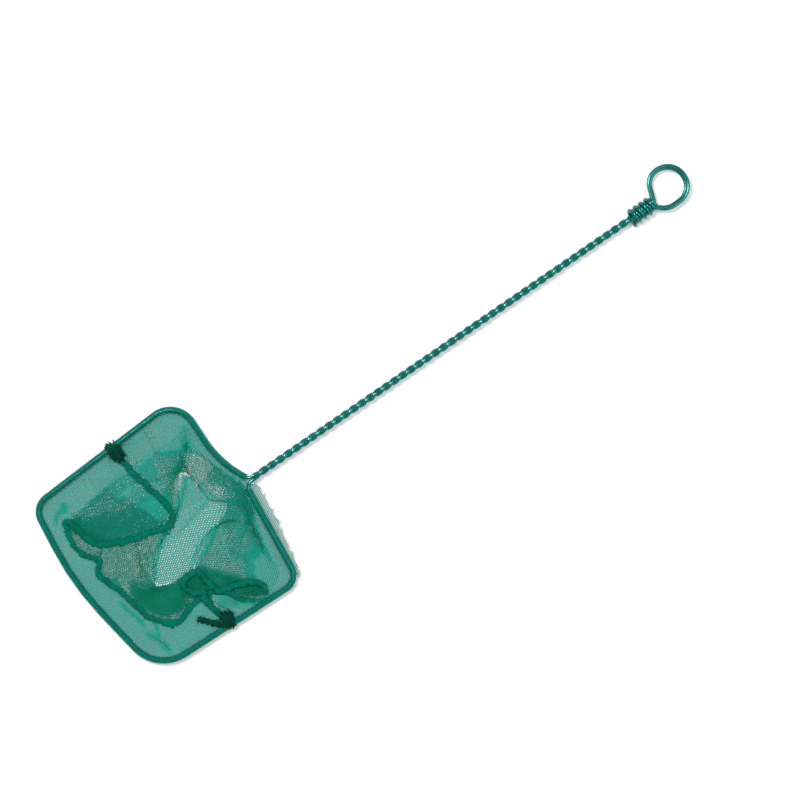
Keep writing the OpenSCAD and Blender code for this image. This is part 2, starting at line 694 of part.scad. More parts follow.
hoop_core();
hoop_coating();
handle_strand(1);  // handle_strand_upper
handle_strand(-1);  // handle_strand_lower
ring_strand(1);  // ring_strand_outer
ring_strand(-1);  // ring_strand_inner
winding_strand(1);  // winding_strand_outer
winding_strand(-1);  // winding_strand_inner
cut_end_cores();
net_far_panel();
net_near_panel();
hem_sleeve_far();
hem_sleeve_near_upper();
hem_sleeve_near_lower();
hem_thread_far();
hem_thread_near_upper();
hem_thread_near_lower();
raw_hem_edge();
bag_seam();
side_tack_upper();
side_tack_lower();
seam_tail();
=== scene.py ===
"""Dresses the aquarium fish net: coated wire, a knitted bag folded flat in its hoop, seams and tacks.

Lengths in the classes are in millimetres, in the wire's own frame: the neck is at the origin, the handle
runs along +X and the middle of the hoop's wire is at height 0. PLACE carries them to the part's frame.
"""
import json
import logging
import math
from dataclasses import dataclass, field
from enum import Enum

import bpy
import numpy as np
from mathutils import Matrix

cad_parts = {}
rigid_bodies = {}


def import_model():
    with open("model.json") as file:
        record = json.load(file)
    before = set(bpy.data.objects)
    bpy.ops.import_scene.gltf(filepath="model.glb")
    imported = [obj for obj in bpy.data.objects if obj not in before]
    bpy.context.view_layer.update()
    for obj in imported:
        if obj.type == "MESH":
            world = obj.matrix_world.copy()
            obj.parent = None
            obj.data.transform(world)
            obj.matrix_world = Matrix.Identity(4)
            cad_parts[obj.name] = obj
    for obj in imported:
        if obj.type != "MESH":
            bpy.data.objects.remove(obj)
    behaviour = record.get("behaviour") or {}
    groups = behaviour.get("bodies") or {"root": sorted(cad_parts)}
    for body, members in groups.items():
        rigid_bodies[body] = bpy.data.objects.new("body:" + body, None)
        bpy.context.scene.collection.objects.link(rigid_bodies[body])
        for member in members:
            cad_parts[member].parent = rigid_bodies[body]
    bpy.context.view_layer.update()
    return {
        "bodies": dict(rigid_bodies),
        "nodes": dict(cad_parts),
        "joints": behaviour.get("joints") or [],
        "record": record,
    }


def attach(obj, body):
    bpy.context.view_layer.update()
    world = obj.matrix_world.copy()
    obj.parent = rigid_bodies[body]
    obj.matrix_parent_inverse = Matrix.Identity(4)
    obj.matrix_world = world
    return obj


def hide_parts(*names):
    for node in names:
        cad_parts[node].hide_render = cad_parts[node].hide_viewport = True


LOG = logging.getLogger("fish_net")
MM = 0.001
TURN = 2 * math.pi
ROUTE_PARTS = 8
UP = np.array([0.0, 0.0, 1.0])
PLACE = np.array([-90.4638, 0.99552, 5.18765])
BODY = "root"
SMOOTH_ANGLE = 50.0
LOW, HIGH, EVERY = slice(None, -1), slice(1, None), slice(None)
# the far and near ends of a grid's edges: down its columns, along its rows and across its cells
EDGES = (((HIGH, EVERY), (LOW, EVERY)), ((EVERY, HIGH), (EVERY, LOW)), ((HIGH, HIGH), (LOW, LOW)))
Array = np.ndarray
Piece = bpy.types.Object
Material = bpy.types.Material
Tree = bpy.types.NodeTree
Node = bpy.types.Node
Colour = tuple[float, float, float]
Point = tuple[float, float]
Place = tuple[float, float, float]


# Lines in the plane and in space
def unit(v: Array) -> Array:
    """Gives a vector its unit length."""
    return v / np.linalg.norm(v)


def left_of(v: Array) -> Array:
    """Turns a plane vector a quarter turn to the left."""
    return np.array([-v[1], v[0]])


def eased(share: Array) -> Array:
    """Lets a share that runs from 0 to 1 start and end softly."""
    return share * share * (3 - 2 * share)


def arc_of(line: Array) -> Array:
    """Lengths along a line, from its first point to each of its points."""
    return np.concatenate([[0.0], np.cumsum(np.linalg.norm(np.diff(line, axis=0), axis=1))])


def point_at(line: Array, shares: Array) -> Array:
    """Points at shares of a line's length."""
    arc = arc_of(line)
    at = np.asarray(shares) * arc[-1]
    return np.stack([np.interp(at, arc, line[:, k]) for k in range(line.shape[1])], -1)


def respaced(line: Array, step: float) -> Array:
    """The same line with points about one step apart."""
    count = max(2, int(round(arc_of(line)[-1] / step)) + 1)
    return point_at(line, np.linspace(0, 1, count))


def smooth_through(rows: Array, parts: int) -> Array:
    """A smooth curve through rows of points, with a number of parts between each two rows."""
    last = len(rows) - 1
    made = []
    for i in range(last):
        before, a, b, after = rows[max(i - 1, 0)], rows[i], rows[i + 1], rows[min(i + 2, last)]
        lead, trail = (b - before) / 2, (after - a) / 2
        for j in range(parts):
            t = j / parts
            made.append((2 * t**3 - 3 * t**2 + 1) * a + (t**3 - 2 * t**2 + t) * lead
                        + (3 * t**2 - 2 * t**3) * b + (t**3 - t**2) * trail)
    return np.array(made + [rows[-1]])


@dataclass(frozen=True)
class Ripple:
    """A smooth wave field with no direction of its own.

    Its height is that of a high crest, and its length about the distance from crest to crest.
    """

    height: float
    length: float
    seed: int
    waves: int = 7
    spread: tuple[float, float] = (0.7, 1.5)

    def at(self, points: Array, shift: int = 0) -> Array:
        """The field's values at points.

        Args:
            points: Places in two or three dimensions.
            shift: Picks another field of the same kind.

        Returns:
            One value for each point.
        """
        rng = np.random.default_rng(self.seed + shift)
        value = np.zeros(len(points))
        for _ in range(self.waves):
            way = unit(rng.normal(size=points.shape[1])) * TURN / (self.length * rng.uniform(*self.spread))
            value += np.sin(points @ way + rng.uniform(0, TURN))
        return self.height * (2 * value / self.waves)


def uneven(points: Array, ripples: tuple[Ripple, ...], shift: int = 0, mean: float = 1.0) -> Array:
    """A factor that wavers with ripples.

    Args:
        points: Places in two or three dimensions.
        ripples: The fields that are added up.
        shift: Picks other fields of the same kinds.
        mean: The factor's middle value.

    Returns:
        One factor for each point.
    """
    return sum((r.at(points, shift) for r in ripples), mean)


def near_line(points: Array, line: Array, reach: float) -> tuple[Array, Array, Array]:
    """Finds the points beside a plane line.

    Args:
        points: Points in space.
        line: Points of the line, in the plane.
        reach: How far past the line's box to look.

    Returns:
        Numbers of the points found, their distances from the line, and which of its points is nearest.
    """
    flat = points[:, :2]
    box = (flat > line.min(0) - reach) & (flat < line.max(0) + reach)
    near = np.nonzero(box.all(1))[0]
    away = np.linalg.norm(flat[near, None] - line[None], axis=2)
    return near, away.min(1), away.argmin(1)


def frames_along(line: Array) -> tuple[Array, Array]:
    """Unit vectors along a line: to its left in the hoop's plane, and up from there."""
    way = np.gradient(line, axis=0)
    way /= np.maximum(np.linalg.norm(way, axis=1, keepdims=True), 1e-9)
    side = np.stack([-way[:, 1], way[:, 0], np.zeros(len(way))], -1)
    side /= np.maximum(np.linalg.norm(side, axis=1, keepdims=True), 1e-9)
    return side, np.cross(way, side)


def coiled(line: Array, turn: Array, wide: Array, tall: Array) -> Array:
    """Winds a thread round a line.

    Args:
        line: Points of the line.
        turn: Angle of the thread at each point, in radians.
        wide: Its distance from the line to the sides.
        tall: Its distance from the line up and down.

    Returns:
        Points of the thread.
    """
    side, up = frames_along(line)
    return line + (wide * np.cos(turn))[:, None] * side + (tall * np.sin(turn))[:, None] * up


def ways_around(rng: np.random.Generator, count: int, height: float) -> Array:
    """Random unit directions, with their heights reduced to a share before they get unit length."""
    ways = rng.normal(size=(count, 3)) * [1, 1, height]
    return ways / np.linalg.norm(ways, axis=1, keepdims=True)


def rounded_route(corners: Array, radii: list[float], takes: list[tuple[float, float]],
                  step: float = 5.0) -> Array:
    """An open route of straight sides and round bends, as the part's source draws it.

    Args:
        corners: Corner points, ends included.
        radii: Radius of the bend at each corner.
        takes: Shares of the sides before and after each corner that its bend may use.
        step: Degrees from point to point in a bend.

    Returns:
        Points along the route.
    """
    made = [corners[0]]
    for i in range(1, len(corners) - 1):
        back, ahead = corners[i] - corners[i - 1], corners[i + 1] - corners[i]
        u, v = unit(back), unit(ahead)
        turn = math.atan2(u[0] * v[1] - u[1] * v[0], float(u @ v))
        half = math.tan(abs(turn) / 2)
        room = min(takes[i][0] * np.linalg.norm(back), takes[i][1] * np.linalg.norm(ahead))
        radius = min(radii[i], room / half)
        start = corners[i] - u * radius * half
        centre = start + left_of(u) * radius * math.copysign(1, turn)
        first = math.atan2(*(start - centre)[::-1])
        count = max(3, int(abs(math.degrees(turn)) / step))
        made += [centre + radius * np.array([math.cos(first + turn * k / count),
                                             math.sin(first + turn * k / count)])
                 for k in range(count + 1)]
    return np.array(made + [corners[-1]])


@dataclass(frozen=True)
class WireForm:
    """The bent wire's sizes, as the part has them."""

    hoop_depth: float = 114.0
    hoop_width: float = 122.0
    wire_r: float = 1.0
    pair_r: float = 1.02
    handle_len: float = 269.0
    handle_points: int = 505
    twist_pitch: float = 11.0
    twist_ease: float = 5.0
    ring_len: float = 22.2
    ring_height: float = 21.4
    ring_foot: float = 3.3
    ring_r: float = 10.4
    ring_top: float = 0.66
    ring_starts: Point = (0.2, 0.22)
    ring_bend_r: float = 2.2
    leg_share: float = 0.9
    leg_rise: float = 0.1
    leg_pull: float = 0.4
    pair_angle: float = 53.0
    wrap_turns: float = 3.75
    wrap_pitch: float = 3.6
    wrap_lean: float = 1.7
    wrap_start: float = 125.0
    wrap_gap: float = 0.04
    wrap_foot: float = 0.7
    wrap_points: int = 181
    leg_points: int = 25
    tack_shares: Point = (0.46, 0.52)

    def hoop_corners(self) -> Array:
        """Corners of the hoop, from the handle round by the upper side and back."""
        shares = np.array([[-0.017, 0], [-0.091, 0.156], [-0.082, 0.498], [-0.960, 0.458],
                           [-1.012, 0.066], [-0.918, -0.485], [-0.095, -0.506], [-0.045, 0]])
        corners = shares * [self.hoop_depth, self.hoop_width]
        corners[0, 1] += self.pair_r
        corners[-1, 1] -= self.pair_r
        return np.vstack([[0, self.pair_r], corners, [0, -self.pair_r]])

    def hoop_line(self) -> Array:
        """Middle line of the hoop's wire, from the handle round to the handle again."""
        radii = [0, 2.9, 60, 14.5, 10, 165, 22, 9, 4.5, 0]
        takes = [(1, 1), (1, 0.15), (0.8, 0.5), (0.45, 0.5), (0.45, 0.28), (0.6, 0.5), (0.4, 0.5),
                 (0.45, 0.5), (0.4, 1), (1, 1)]
        return rounded_route(self.hoop_corners(), radii, takes)

    def tacks(self) -> tuple[Array, Array]:
        """Places of the upper and lower tack on the hoop."""
        c = self.hoop_corners()
        return (c[3] + self.tack_shares[0] * (c[4] - c[3]),
                c[6] + self.tack_shares[1] * (c[7] - c[6]))

    def phase(self, x: Array) -> Array:
        """Turn of the twisted pair at distances along the handle, in degrees."""
        run = self.handle_len - self.twist_ease
        total = self.pair_angle - 360 * round(run / self.twist_pitch)
        rate = total / run
        ease = self.twist_ease
        return np.where(x < ease, rate * x * x / (2 * ease),
                        np.where(x > run, total - rate * (self.handle_len - x) ** 2 / (2 * ease),
                                 rate * (x - ease / 2)))

    def handle_line(self, side: int) -> Array:
        """Middle line of one wire of the twisted pair, on side 1 or -1."""
        x = np.linspace(0, self.handle_len, self.handle_points)
        turn = np.radians(self.phase(x))
        return np.column_stack([x, side * self.pair_r * np.cos(turn), side * self.pair_r * np.sin(turn)])

    def ring_route(self) -> Array:
        """Corners of the hanging ring, from the end of the handle round to the start of the leg."""
        foot = self.handle_len + self.ring_foot
        top = self.ring_top * self.ring_height
        low = top - self.ring_height
        near, over = (foot + share * self.ring_len for share in self.ring_starts)
        return np.array([[self.handle_len, 0], [foot, 0], [over, top], [foot + self.ring_len, top],
                         [foot + self.ring_len, low], [near, low],
                         [near + self.leg_share * low, self.leg_rise * low]])

    def wrap_rise(self) -> float:
        """Distance between the two wires of the winding, away from the handle."""
        return math.sqrt((2 * self.pair_r) ** 2 - self.wrap_lean ** 2)

    def wrap_at(self, shares: Array) -> tuple[Array, Array, Array]:
        """Middle line, direction and half spread of the winding.

        Args:
            shares: Shares of the winding's turns, from the ring's side.

        Returns:
            Points, unit directions, and half the step from one wire to the other.
        """
        rise = self.wrap_rise()
        mid_r = self.pair_r + 2 * self.wire_r + self.wrap_gap + rise / 2
        angle = np.radians(self.wrap_start - 360 * self.wrap_turns * shares)
        zero = np.zeros_like(angle)
        out = np.stack([zero, np.cos(angle), np.sin(angle)], -1)
        foot = self.handle_len + self.wrap_foot * self.ring_foot
        along = foot - self.wrap_pitch * self.wrap_turns * shares
        points = np.stack([along, zero, zero], -1) + mid_r * out
        ways = np.stack([zero - self.wrap_pitch, TURN * mid_r * np.sin(angle),
                         -TURN * mid_r * np.cos(angle)], -1)
        ways /= np.linalg.norm(ways, axis=-1, keepdims=True)
        return points, ways, (np.array([-self.wrap_lean, 0, 0]) + rise * out) / 2

    def ring_line(self, side: int) -> Array:
        """Middle line of one wire round the ring and up to the winding, on side 1 or -1."""
        corners = self.ring_route()
        takes = [(1, 1), (1, 0.2), (0.7, 0.36), (0.6, 0.485), (0.485, 0.58), (0.38, 0.5), (1, 1)]
        flat = rounded_route(corners, [0, self.ring_bend_r, *[self.ring_r] * 4, 0], takes)[:-1]
        lean = math.radians(self.pair_angle)

        def spread(way: Array) -> Array:
            """Half the step between the wires where they run flat."""
            return self.pair_r * np.append(math.cos(lean) * left_of(way), math.sin(lean))

        ways = [np.array([1.0, 0.0])]
        ways += [unit(flat[min(i + 1, len(flat) - 1)] - flat[i - 1]) for i in range(1, len(flat))]
        made = [np.append(p, 0) + side * spread(w) for p, w in zip(flat[:-1], ways[:-1])]
        leg_way = unit(corners[6] - corners[5])
        points, dirs, halves = self.wrap_at(np.array([0.0]))
        a, d = np.append(flat[-1], 0), points[0]
        pull = self.leg_pull * np.linalg.norm(d - a)
        b, c = a + pull * np.append(leg_way, 0), d - pull * dirs[0]
        for s in np.linspace(0, 1, self.leg_points):
            p = (1 - s) ** 3 * a + 3 * (1 - s) ** 2 * s * b + 3 * (1 - s) * s * s * c + s ** 3 * d
            off = self.pair_r * unit((1 - s) * spread(leg_way) + s * halves[0])
            made.append(p + side * off)
        return np.array(made)

    def winding_line(self, side: int) -> Array:
        """Middle line of one wire of the winding, with its straight tail, on side 1 or -1."""
        points, dirs, halves = self.wrap_at(np.linspace(0, 1, self.wrap_points))
        line = points + side * halves
        return np.vstack([line, line[-1] + 2 * self.wire_r * dirs[-1]])

    def strand(self, side: int) -> Array:
        """One wire from the neck, along the handle and round the ring, to its cut end."""
        return np.vstack([self.handle_line(side), self.ring_line(side)[1:], self.winding_line(side)[1:]])


# The folded bag
class Side(Enum):
    """The two panels of the bag."""

    FAR = "far"
    NEAR = "near"


MOST_FOLDS = {Side.FAR: 3, Side.NEAR: 4}


@dataclass(frozen=True)
class FoldStation:
    """One line over the folded bag: from each panel's rim, over its creases, to the seam."""

    seam: Point
    far_share: float
    far_folds: tuple[Point, ...]
    near_share: float
    near_folds: tuple[Point, ...]

    def of(self, side: Side) -> tuple[float, tuple[Point, ...]]:
        """The line's place on a panel's rim, as a share, and its folds on that panel."""
        return (self.far_share, self.far_folds) if side is Side.FAR else (self.near_share, self.near_folds)


STATIONS = tuple(FoldStation(*row) for row in (
    ((-55.1, 54.2), 0.005, (), 0.008, ()),
    ((-54.1, 44.5), 0.020, (), 0.029, ()),
    ((-52.1, 33.7), 0.040, (), 0.056, ()),
    ((-49.6, 22.9), 0.064, (), 0.085, ()),
    ((-48.3, 14.3), 0.090, (), 0.115, ()),
    ((-50.0, 6.8), 0.115, (), 0.138, ((-47.8, 5.7),)),
    ((-56.4, 4.6), 0.141, ((-53.7, 3.0),), 0.159, ((-44.0, 9.5),)),
    ((-65.6, 7.8), 0.169, ((-58.0, 1.2),), 0.179, ((-40.3, 14.3),)),
    ((-75.3, 9.5), 0.200, ((-62.3, -0.2),), 0.201, ((-36.5, 19.7),)),
    ((-85.0, 14.3), 0.232, ((-65.6, -1.6),), 0.222, ((-33.8, 23.5),)),
    ((-93.6, 19.7), 0.265, ((-68.3, -3.1),), 0.243, ((-31.9, 25.9),)),
    ((-96.8, 29.4), 0.304, ((-71.0, -5.9),), 0.265, ((-31.1, 26.6),)),
    ((-100.0, 39.1), 0.346, ((-73.1, -8.8),), 0.283, ((-30.7, 26.6), (-99.0, 39.6))),
    ((-103.5, 30.5), 0.387, ((-75.3, -11.8),),
     0.296, ((-30.3, 25.9), (-79.6, 41.8), (-90.3, 19.7), (-94.7, 38.5))),
    ((-103.3, 19.7), 0.428, ((-76.9, -14.8),),
     0.313, ((-29.6, 24.5), (-58.0, 43.9), (-75.3, 10.5), (-86.0, 40.6))),
    ((-97.3, 11.1), 0.464, ((-78.5, -18.0),),
     0.328, ((-29.0, 22.7), (-36.5, 43.6), (-57.0, 5.7), (-73.1, 42.1))),
    ((-101.7, 4.1), 0.504, ((-79.6, -20.2),),
     0.349, ((-28.4, 19.7), (-21.4, 42.1), (-50.0, 7.3), (-60.2, 43.4))),
    ((-99.0, -4.0), 0.551, ((-76.3, -21.8), (-89.3, -9.4), (-83.9, -20.2)),
     0.382, ((-27.9, 14.8), (-17.1, 33.7), (-48.3, 20.8), (-53.7, 33.7))),
    ((-95.9, -14.8), 0.597, ((-71.0, -22.8), (-92.5, -16.9), (-79.6, -21.4)),
     0.419, ((-27.6, 8.9), (-13.5, 19.7))),
    ((-93.6, -25.5), 0.643, ((-65.6, -23.6), (-91.4, -26.6), (-75.3, -22.1)),
     0.458, ((-26.3, 2.5), (-9.5, 9.0), (-15.0, 6.5), (-9.0, 8.0))),
    ((-90.1, -34.2), 0.690, ((-60.7, -23.9), (-87.1, -33.1), (-71.0, -22.5)),
     0.489, ((-19.8, -2.9), (-6.0, 2.0), (-13.5, -3.0), (-6.5, 0.5))),
    ((-84.7, -40.1), 0.741, ((-57.5, -23.6), (-81.7, -37.4), (-66.7, -23.0)),
     0.527, ((-25.7, -8.5), (-7.5, -8.5), (-16.5, -9.5), (-8.0, -9.5))),
    ((-78.5, -43.0), 0.793, ((-55.3, -23.2), (-75.3, -38.5), (-62.3, -23.4)),
     0.569, ((-33.8, -10.7), (-11.0, -20.0), (-15.5, -16.0), (-10.5, -18.0))),
    ((-69.9, -40.1), 0.832, ((-54.3, -23.0),), 0.616, ((-41.3, -13.7), (-14.0, -31.0))),
    ((-60.7, -39.0), 0.866, ((-53.7, -23.0),), 0.664, ((-47.3, -17.5), (-16.3, -41.7))),
    ((-53.7, -40.1), 0.895, ((-53.5, -23.2),), 0.712, ((-51.6, -20.7), (-17.7, -51.4))),
    ((-48.3, -43.8), 0.915, ((-53.4, -23.4),), 0.754, ((-53.4, -22.5), (-22.5, -55.7))),
    ((-43.0, -52.5), 0.928, ((-53.3, -23.6), (-34.3, -55.7), (-47.3, -47.1)),
     0.791, ((-53.7, -23.2), (-25.7, -56.8), (-45.1, -47.1), (-31.1, -55.7))),
    ((-36.5, -58.9), 0.938, ((-53.3, -23.8), (-32.2, -55.7), (-44.0, -46.0)),
     0.825, ((-53.7, -23.4), (-27.3, -57.8), (-44.0, -46.0), (-31.1, -57.8))),
    ((-30.9, -59.8), 0.948, ((-53.3, -24.0), (-31.1, -54.6), (-43.0, -46.0)),
     0.850, ((-53.7, -23.6), (-27.9, -58.9), (-43.0, -46.0), (-30.0, -57.8))),
    ((-29.0, -53.5), 0.957, ((-53.3, -24.2), (-33.3, -50.3), (-44.0, -46.0)),
     0.865, ((-53.7, -23.8), (-27.9, -55.7), (-43.0, -44.9), (-31.1, -52.5))),
    ((-33.8, -47.1), 0.964, ((-53.4, -24.5),), 0.878, ((-53.7, -24.0),)),
    ((-43.0, -43.8), 0.970, ((-53.5, -24.7),), 0.891, ((-53.7, -24.2),)),
    ((-51.0, -40.6), 0.975, ((-53.6, -24.9),), 0.905, ((-53.7, -24.5),)),
    ((-53.7, -34.2), 0.980, ((-53.7, -25.1),), 0.918, ((-53.7, -24.8),)),
    ((-54.3, -26.1), 0.984, ((-54.3, -25.5),), 0.931, ((-54.1, -25.3),)),
    ((-60.2, -24.7), 0.986, (), 0.944, ()),
    ((-65.6, -26.6), 0.988, (), 0.956, ()),
    ((-64.0, -33.6), 0.991, (), 0.968, ()),
    ((-59.1, -36.8), 0.993, (), 0.977, ()),
    ((-60.2, -41.7), 0.994, (), 0.983, ()),
    ((-58.4, -50.3), 0.996, (), 0.990, ()),
    ((-55.9, -59.5), 0.997, (), 0.996, ()),
))


@dataclass(frozen=True)
class Pleat:
    """A narrow pleat that is pressed into the cloth along a route."""

    route: tuple[Point, ...]
    reach: float = 2.0
    pinch: float = 0.4
    lift: float = 0.35
    fade: float = 8.0
    step: float = 0.5

    def pressed(self, points: Array) -> tuple[Array, Array]:
        """Draws the points beside the route in towards it, and lifts them a little.

        Args:
            points: Points of the cloth in space.

        Returns:
            The moved points, and how tightly the cloth is drawn together at each, from 0 to 1.
        """
        line = respaced(smooth_through(np.array(self.route), ROUTE_PARTS), self.step)
        near, away, nearest = near_line(points, line, self.reach)
        ends = np.minimum(nearest, len(line) - 1 - nearest) * self.step / self.fade
        t = np.clip(away / self.reach, 0, 1)
        hold = np.clip(ends, 0, 1) * (1 - self.pinch) * (1 - eased(t))
        made = points.copy()
        made[near, :2] += (line[nearest] - points[near, :2]) * hold[:, None]
        made[near, 2] += self.lift * hold * (1 - t)
        tight = np.zeros(len(points))
        tight[near] = hold
        return made, tight


PLEATS = (
    Pleat(((-25, 29), (-30, 22), (-36, 16), (-43, 10), (-52, 5), (-61, 0), (-69, -6), (-74, -12),
           (-80, -20))),
    Pleat(((-18, -18), (-23, -13), (-29, -11), (-37, -11), (-45, -14), (-52, -18), (-58, -23))),
    Pleat(((-101, -14), (-99, -23), (-97, -30), (-97, -36)), fade=4),
    Pleat(((-98, -37), (-95, -44), (-93, -50), (-93, -56)), 3.0, 0.3, fade=4),
    Pleat(((-90, -33), (-92, -40), (-95, -47)), fade=4),
    Pleat(((-106, 40), (-103, 44), (-98, 46), (-92, 44)), fade=4),
    Pleat(((-16, 47), (-17, 42), (-20, 37), (-24, 32)), 4.5, 0.4, fade=5),
    Pleat(((-24, 38), (-27, 30), (-28, 22), (-27, 14), (-26, 6))),
    Pleat(((-99, 43), (-97, 46), (-94, 48)), 3.5, 0.4, fade=2),
    Pleat(((-73, 9), (-76, 3), (-79, -4), (-82, -10)), fade=4),
    Pleat(((-14, -16), (-16, -24), (-17, -34), (-18, -46))),
    Pleat(((-92, -14), (-90, -23), (-84, -32), (-76, -36), (-65, -36)), 10.0, 0.92, 0.0, 4),
    Pleat(((-56, -37), (-48, -44.5), (-38, -49), (-29, -55)), 7.0, 0.8, 0.0, 4),
    Pleat(((-57, -46), (-49, -49.5), (-41, -54), (-34, -57)), 6.0, 0.6, 0.0, 4),
)


@dataclass
class NetPanel:
    """One panel of the bag: its folds and its flat cut."""

    side: Side
    wire: WireForm
    rim_z: float = -1.1
    rim_points: int = 1601
    seam_z: float = -3.1
    border: float = 10.0
    sag: float = 1.4
    bend: float = 1.5
    layer_z: tuple[float, ...] = (-3.2, -3.6, -4.0, -4.4, -4.7)
    near_drop: float = 0.2
    neck_x: float = -2.8
    parts: int = 3
    rows: int = 5
    fan: tuple[float, float] = (-0.2, 0.3)
    stiffness: tuple[float, float] = (0.05, 4.0)
    cloth: Array = field(default_factory=lambda: np.zeros((0, 0, 3)))
    cut: Array = field(default_factory=lambda: np.zeros((0, 0, 2)))

    def rim(self) -> Array:
        """The panel's edge on the hoop, from the upper tack to the lower one."""
        line = self.wire.hoop_line()
        upper, lower = self.wire.tacks()
        dense = point_at(line, np.linspace(0, 1, self.rim_points))
        a = int(np.argmin(np.linalg.norm(dense - upper, axis=1)))
        b = int(np.argmin(np.linalg.norm(dense - lower, axis=1)))
        if self.side is Side.FAR:
            return dense[a:b + 1]
        bare = dense[:, 0] < self.neck_x
        first, last = int(np.argmax(bare)), len(bare) - 1 - int(np.argmax(bare[::-1]))
        return np.vstack([dense[first:a + 1][::-1], dense[b:last + 1][::-1]])

    def guides(self) -> Array:
        """The rim, the creases and the seam as curves: columns, curves, two coordinates."""
        rim = self.rim()
        shares, rows = [], []
        for s in STATIONS:
            share, folds = s.of(self.side)
            start, end = point_at(rim, [share])[0], np.array(s.seam)
            given = [start, *map(np.array, folds)]
            rest = MOST_FOLDS[self.side] + 1 - len(folds)
            given += [given[-1] + (end - given[-1]) * k / rest for k in range(1, rest)]
            shares.append(share)
            rows.append(given + [end])
        lines = smooth_through(np.array(rows), self.parts)
        spread = np.interp(np.linspace(0, 1, len(lines)), np.linspace(0, 1, len(shares)), shares)
        lines[:, 0] = point_at(rim, np.maximum.accumulate(spread))
        return lines

    def lay(self) -> None:
        """Lays the cloth over the creases, from the rim down to the table and over to the seam."""
        lines = self.guides()
        strips = lines.shape[1] - 1
        drop = self.near_drop if self.side is Side.NEAR else 0.0
        floor = [z - drop for z in self.layer_z]
        made = []
        for j in range(strips):
            a, b = lines[:, j], lines[:, j + 1]
            run = np.linalg.norm(b - a, axis=1)
            at_b = self.seam_z if j == strips - 1 else (floor[j] + floor[j + 1]) / 2
            for r in range(self.rows + (j == strips - 1)):
                f = (1 - math.cos(math.pi * r / self.rows)) / 2
                if j == 0:
                    slope = np.clip(1 - run * f / self.border, 0, 1) ** self.sag
                    z = floor[0] + (self.rim_z - floor[0]) * slope
                else:
                    start = (floor[j - 1] + floor[j]) / 2
                    z = start + (floor[j] - start) * eased(np.clip(run * f / self.bend, 0, 1))
                z = at_b + (z - at_b) * eased(np.clip(run * (1 - f) / self.bend, 0, 1))
                made.append(np.column_stack([a + (b - a) * f, z]))
        self.cloth = np.stack(made, 1)

    def unfold(self, rounds: int = 60, settles: int = 50) -> float:
        """Finds the flat cut: lays the cloth out as stiffly as it can, with no part turned over.

        Each round turns every triangle to its best angle in the plane, then settles the corners.

        Args:
            rounds: Number of rounds.
            settles: Steps of settling in each round.

        Returns:
            The middle change of the edges' lengths that is left, as a share.
        """
        rim = arc_of(self.cloth[:, 0])
        down = np.cumsum(np.linalg.norm(np.diff(self.cloth, axis=1), axis=2), 1)
        depth = np.concatenate([np.zeros((len(rim), 1)), down], 1)
        turn = np.interp(rim / rim[-1], [0, 1], self.fan)[:, None]
        x = np.stack([rim[:, None] + depth * np.sin(turn), depth * np.cos(turn)], -1)
        cloth = self.cloth
        # the two triangles of each cell, and for each of their sides: its family of edges, the part of
        # the family that it is, and its sign
        triangles = [self.flat_triangle(cloth[LOW, LOW], cloth[HIGH, LOW], cloth[HIGH, HIGH]),
                     self.flat_triangle(cloth[LOW, LOW], cloth[HIGH, HIGH], cloth[LOW, HIGH])]
        homes = [[(0, (EVERY, LOW), 1), (1, (HIGH, EVERY), 1), (2, (EVERY, EVERY), 1)],
                 [(2, (EVERY, EVERY), 1), (0, (EVERY, HIGH), -1), (1, (LOW, EVERY), 1)]]
        stiff = [np.zeros_like(s[..., :1]) for s in self.steps(x)]
        for (_, weights), home in zip(triangles, homes):
            for k, (family, part, _) in enumerate(home):
                stiff[family][part] += weights[k]
        for _ in range(rounds):
            now_steps = self.steps(x)
            want = [np.zeros_like(s) for s in now_steps]
            for (sides, weights), home in zip(triangles, homes):
                real = sum(w[..., None] * sign * now_steps[f][part][..., :, None] * side[..., None, :]
                           for (f, part, sign), side, w in zip(home, sides, weights))
                angle = np.arctan2(real[..., 1, 0] - real[..., 0, 1], real[..., 0, 0] + real[..., 1, 1])
                c, s = np.cos(angle), np.sin(angle)
                for (f, part, sign), side, w in zip(home, sides, weights):
                    turned = np.stack([c * side[..., 0] - s * side[..., 1],
                                       s * side[..., 0] + c * side[..., 1]], -1)
                    want[f][part] += sign * w * turned
            left = self.gathered([w - k * s for w, k, s in zip(want, stiff, now_steps)])
            way, power = left.copy(), (left ** 2).sum((0, 1))
            for _ in range(settles):
                taken = self.gathered([k * s for k, s in zip(stiff, self.steps(way))])
                share = power / np.maximum((way * taken).sum((0, 1)), 1e-12)
                x = x + share * way
                left = left - share * taken
                now = (left ** 2).sum((0, 1))
                way, power = left + now / np.maximum(power, 1e-12) * way, now
        self.cut = x
        made, real = (np.concatenate([np.linalg.norm(s, axis=-1).ravel() for s in self.steps(grid)])
                      for grid in (x, cloth))
        return float(np.median(np.abs(made / np.maximum(real, 0.05) - 1)))

    @staticmethod
    def steps(grid: Array) -> list[Array]:
        """Steps along a grid's edges, family by family."""
        return [grid[far] - grid[near] for far, near in EDGES]

    def gathered(self, pulls: list[Array]) -> Array:
        """Sums what each edge pulls at its two ends."""
        total = np.zeros((*self.cloth.shape[:2], 2))
        for pull, (far, near) in zip(pulls, EDGES):
            total[far] += pull
            total[near] -= pull
        return total

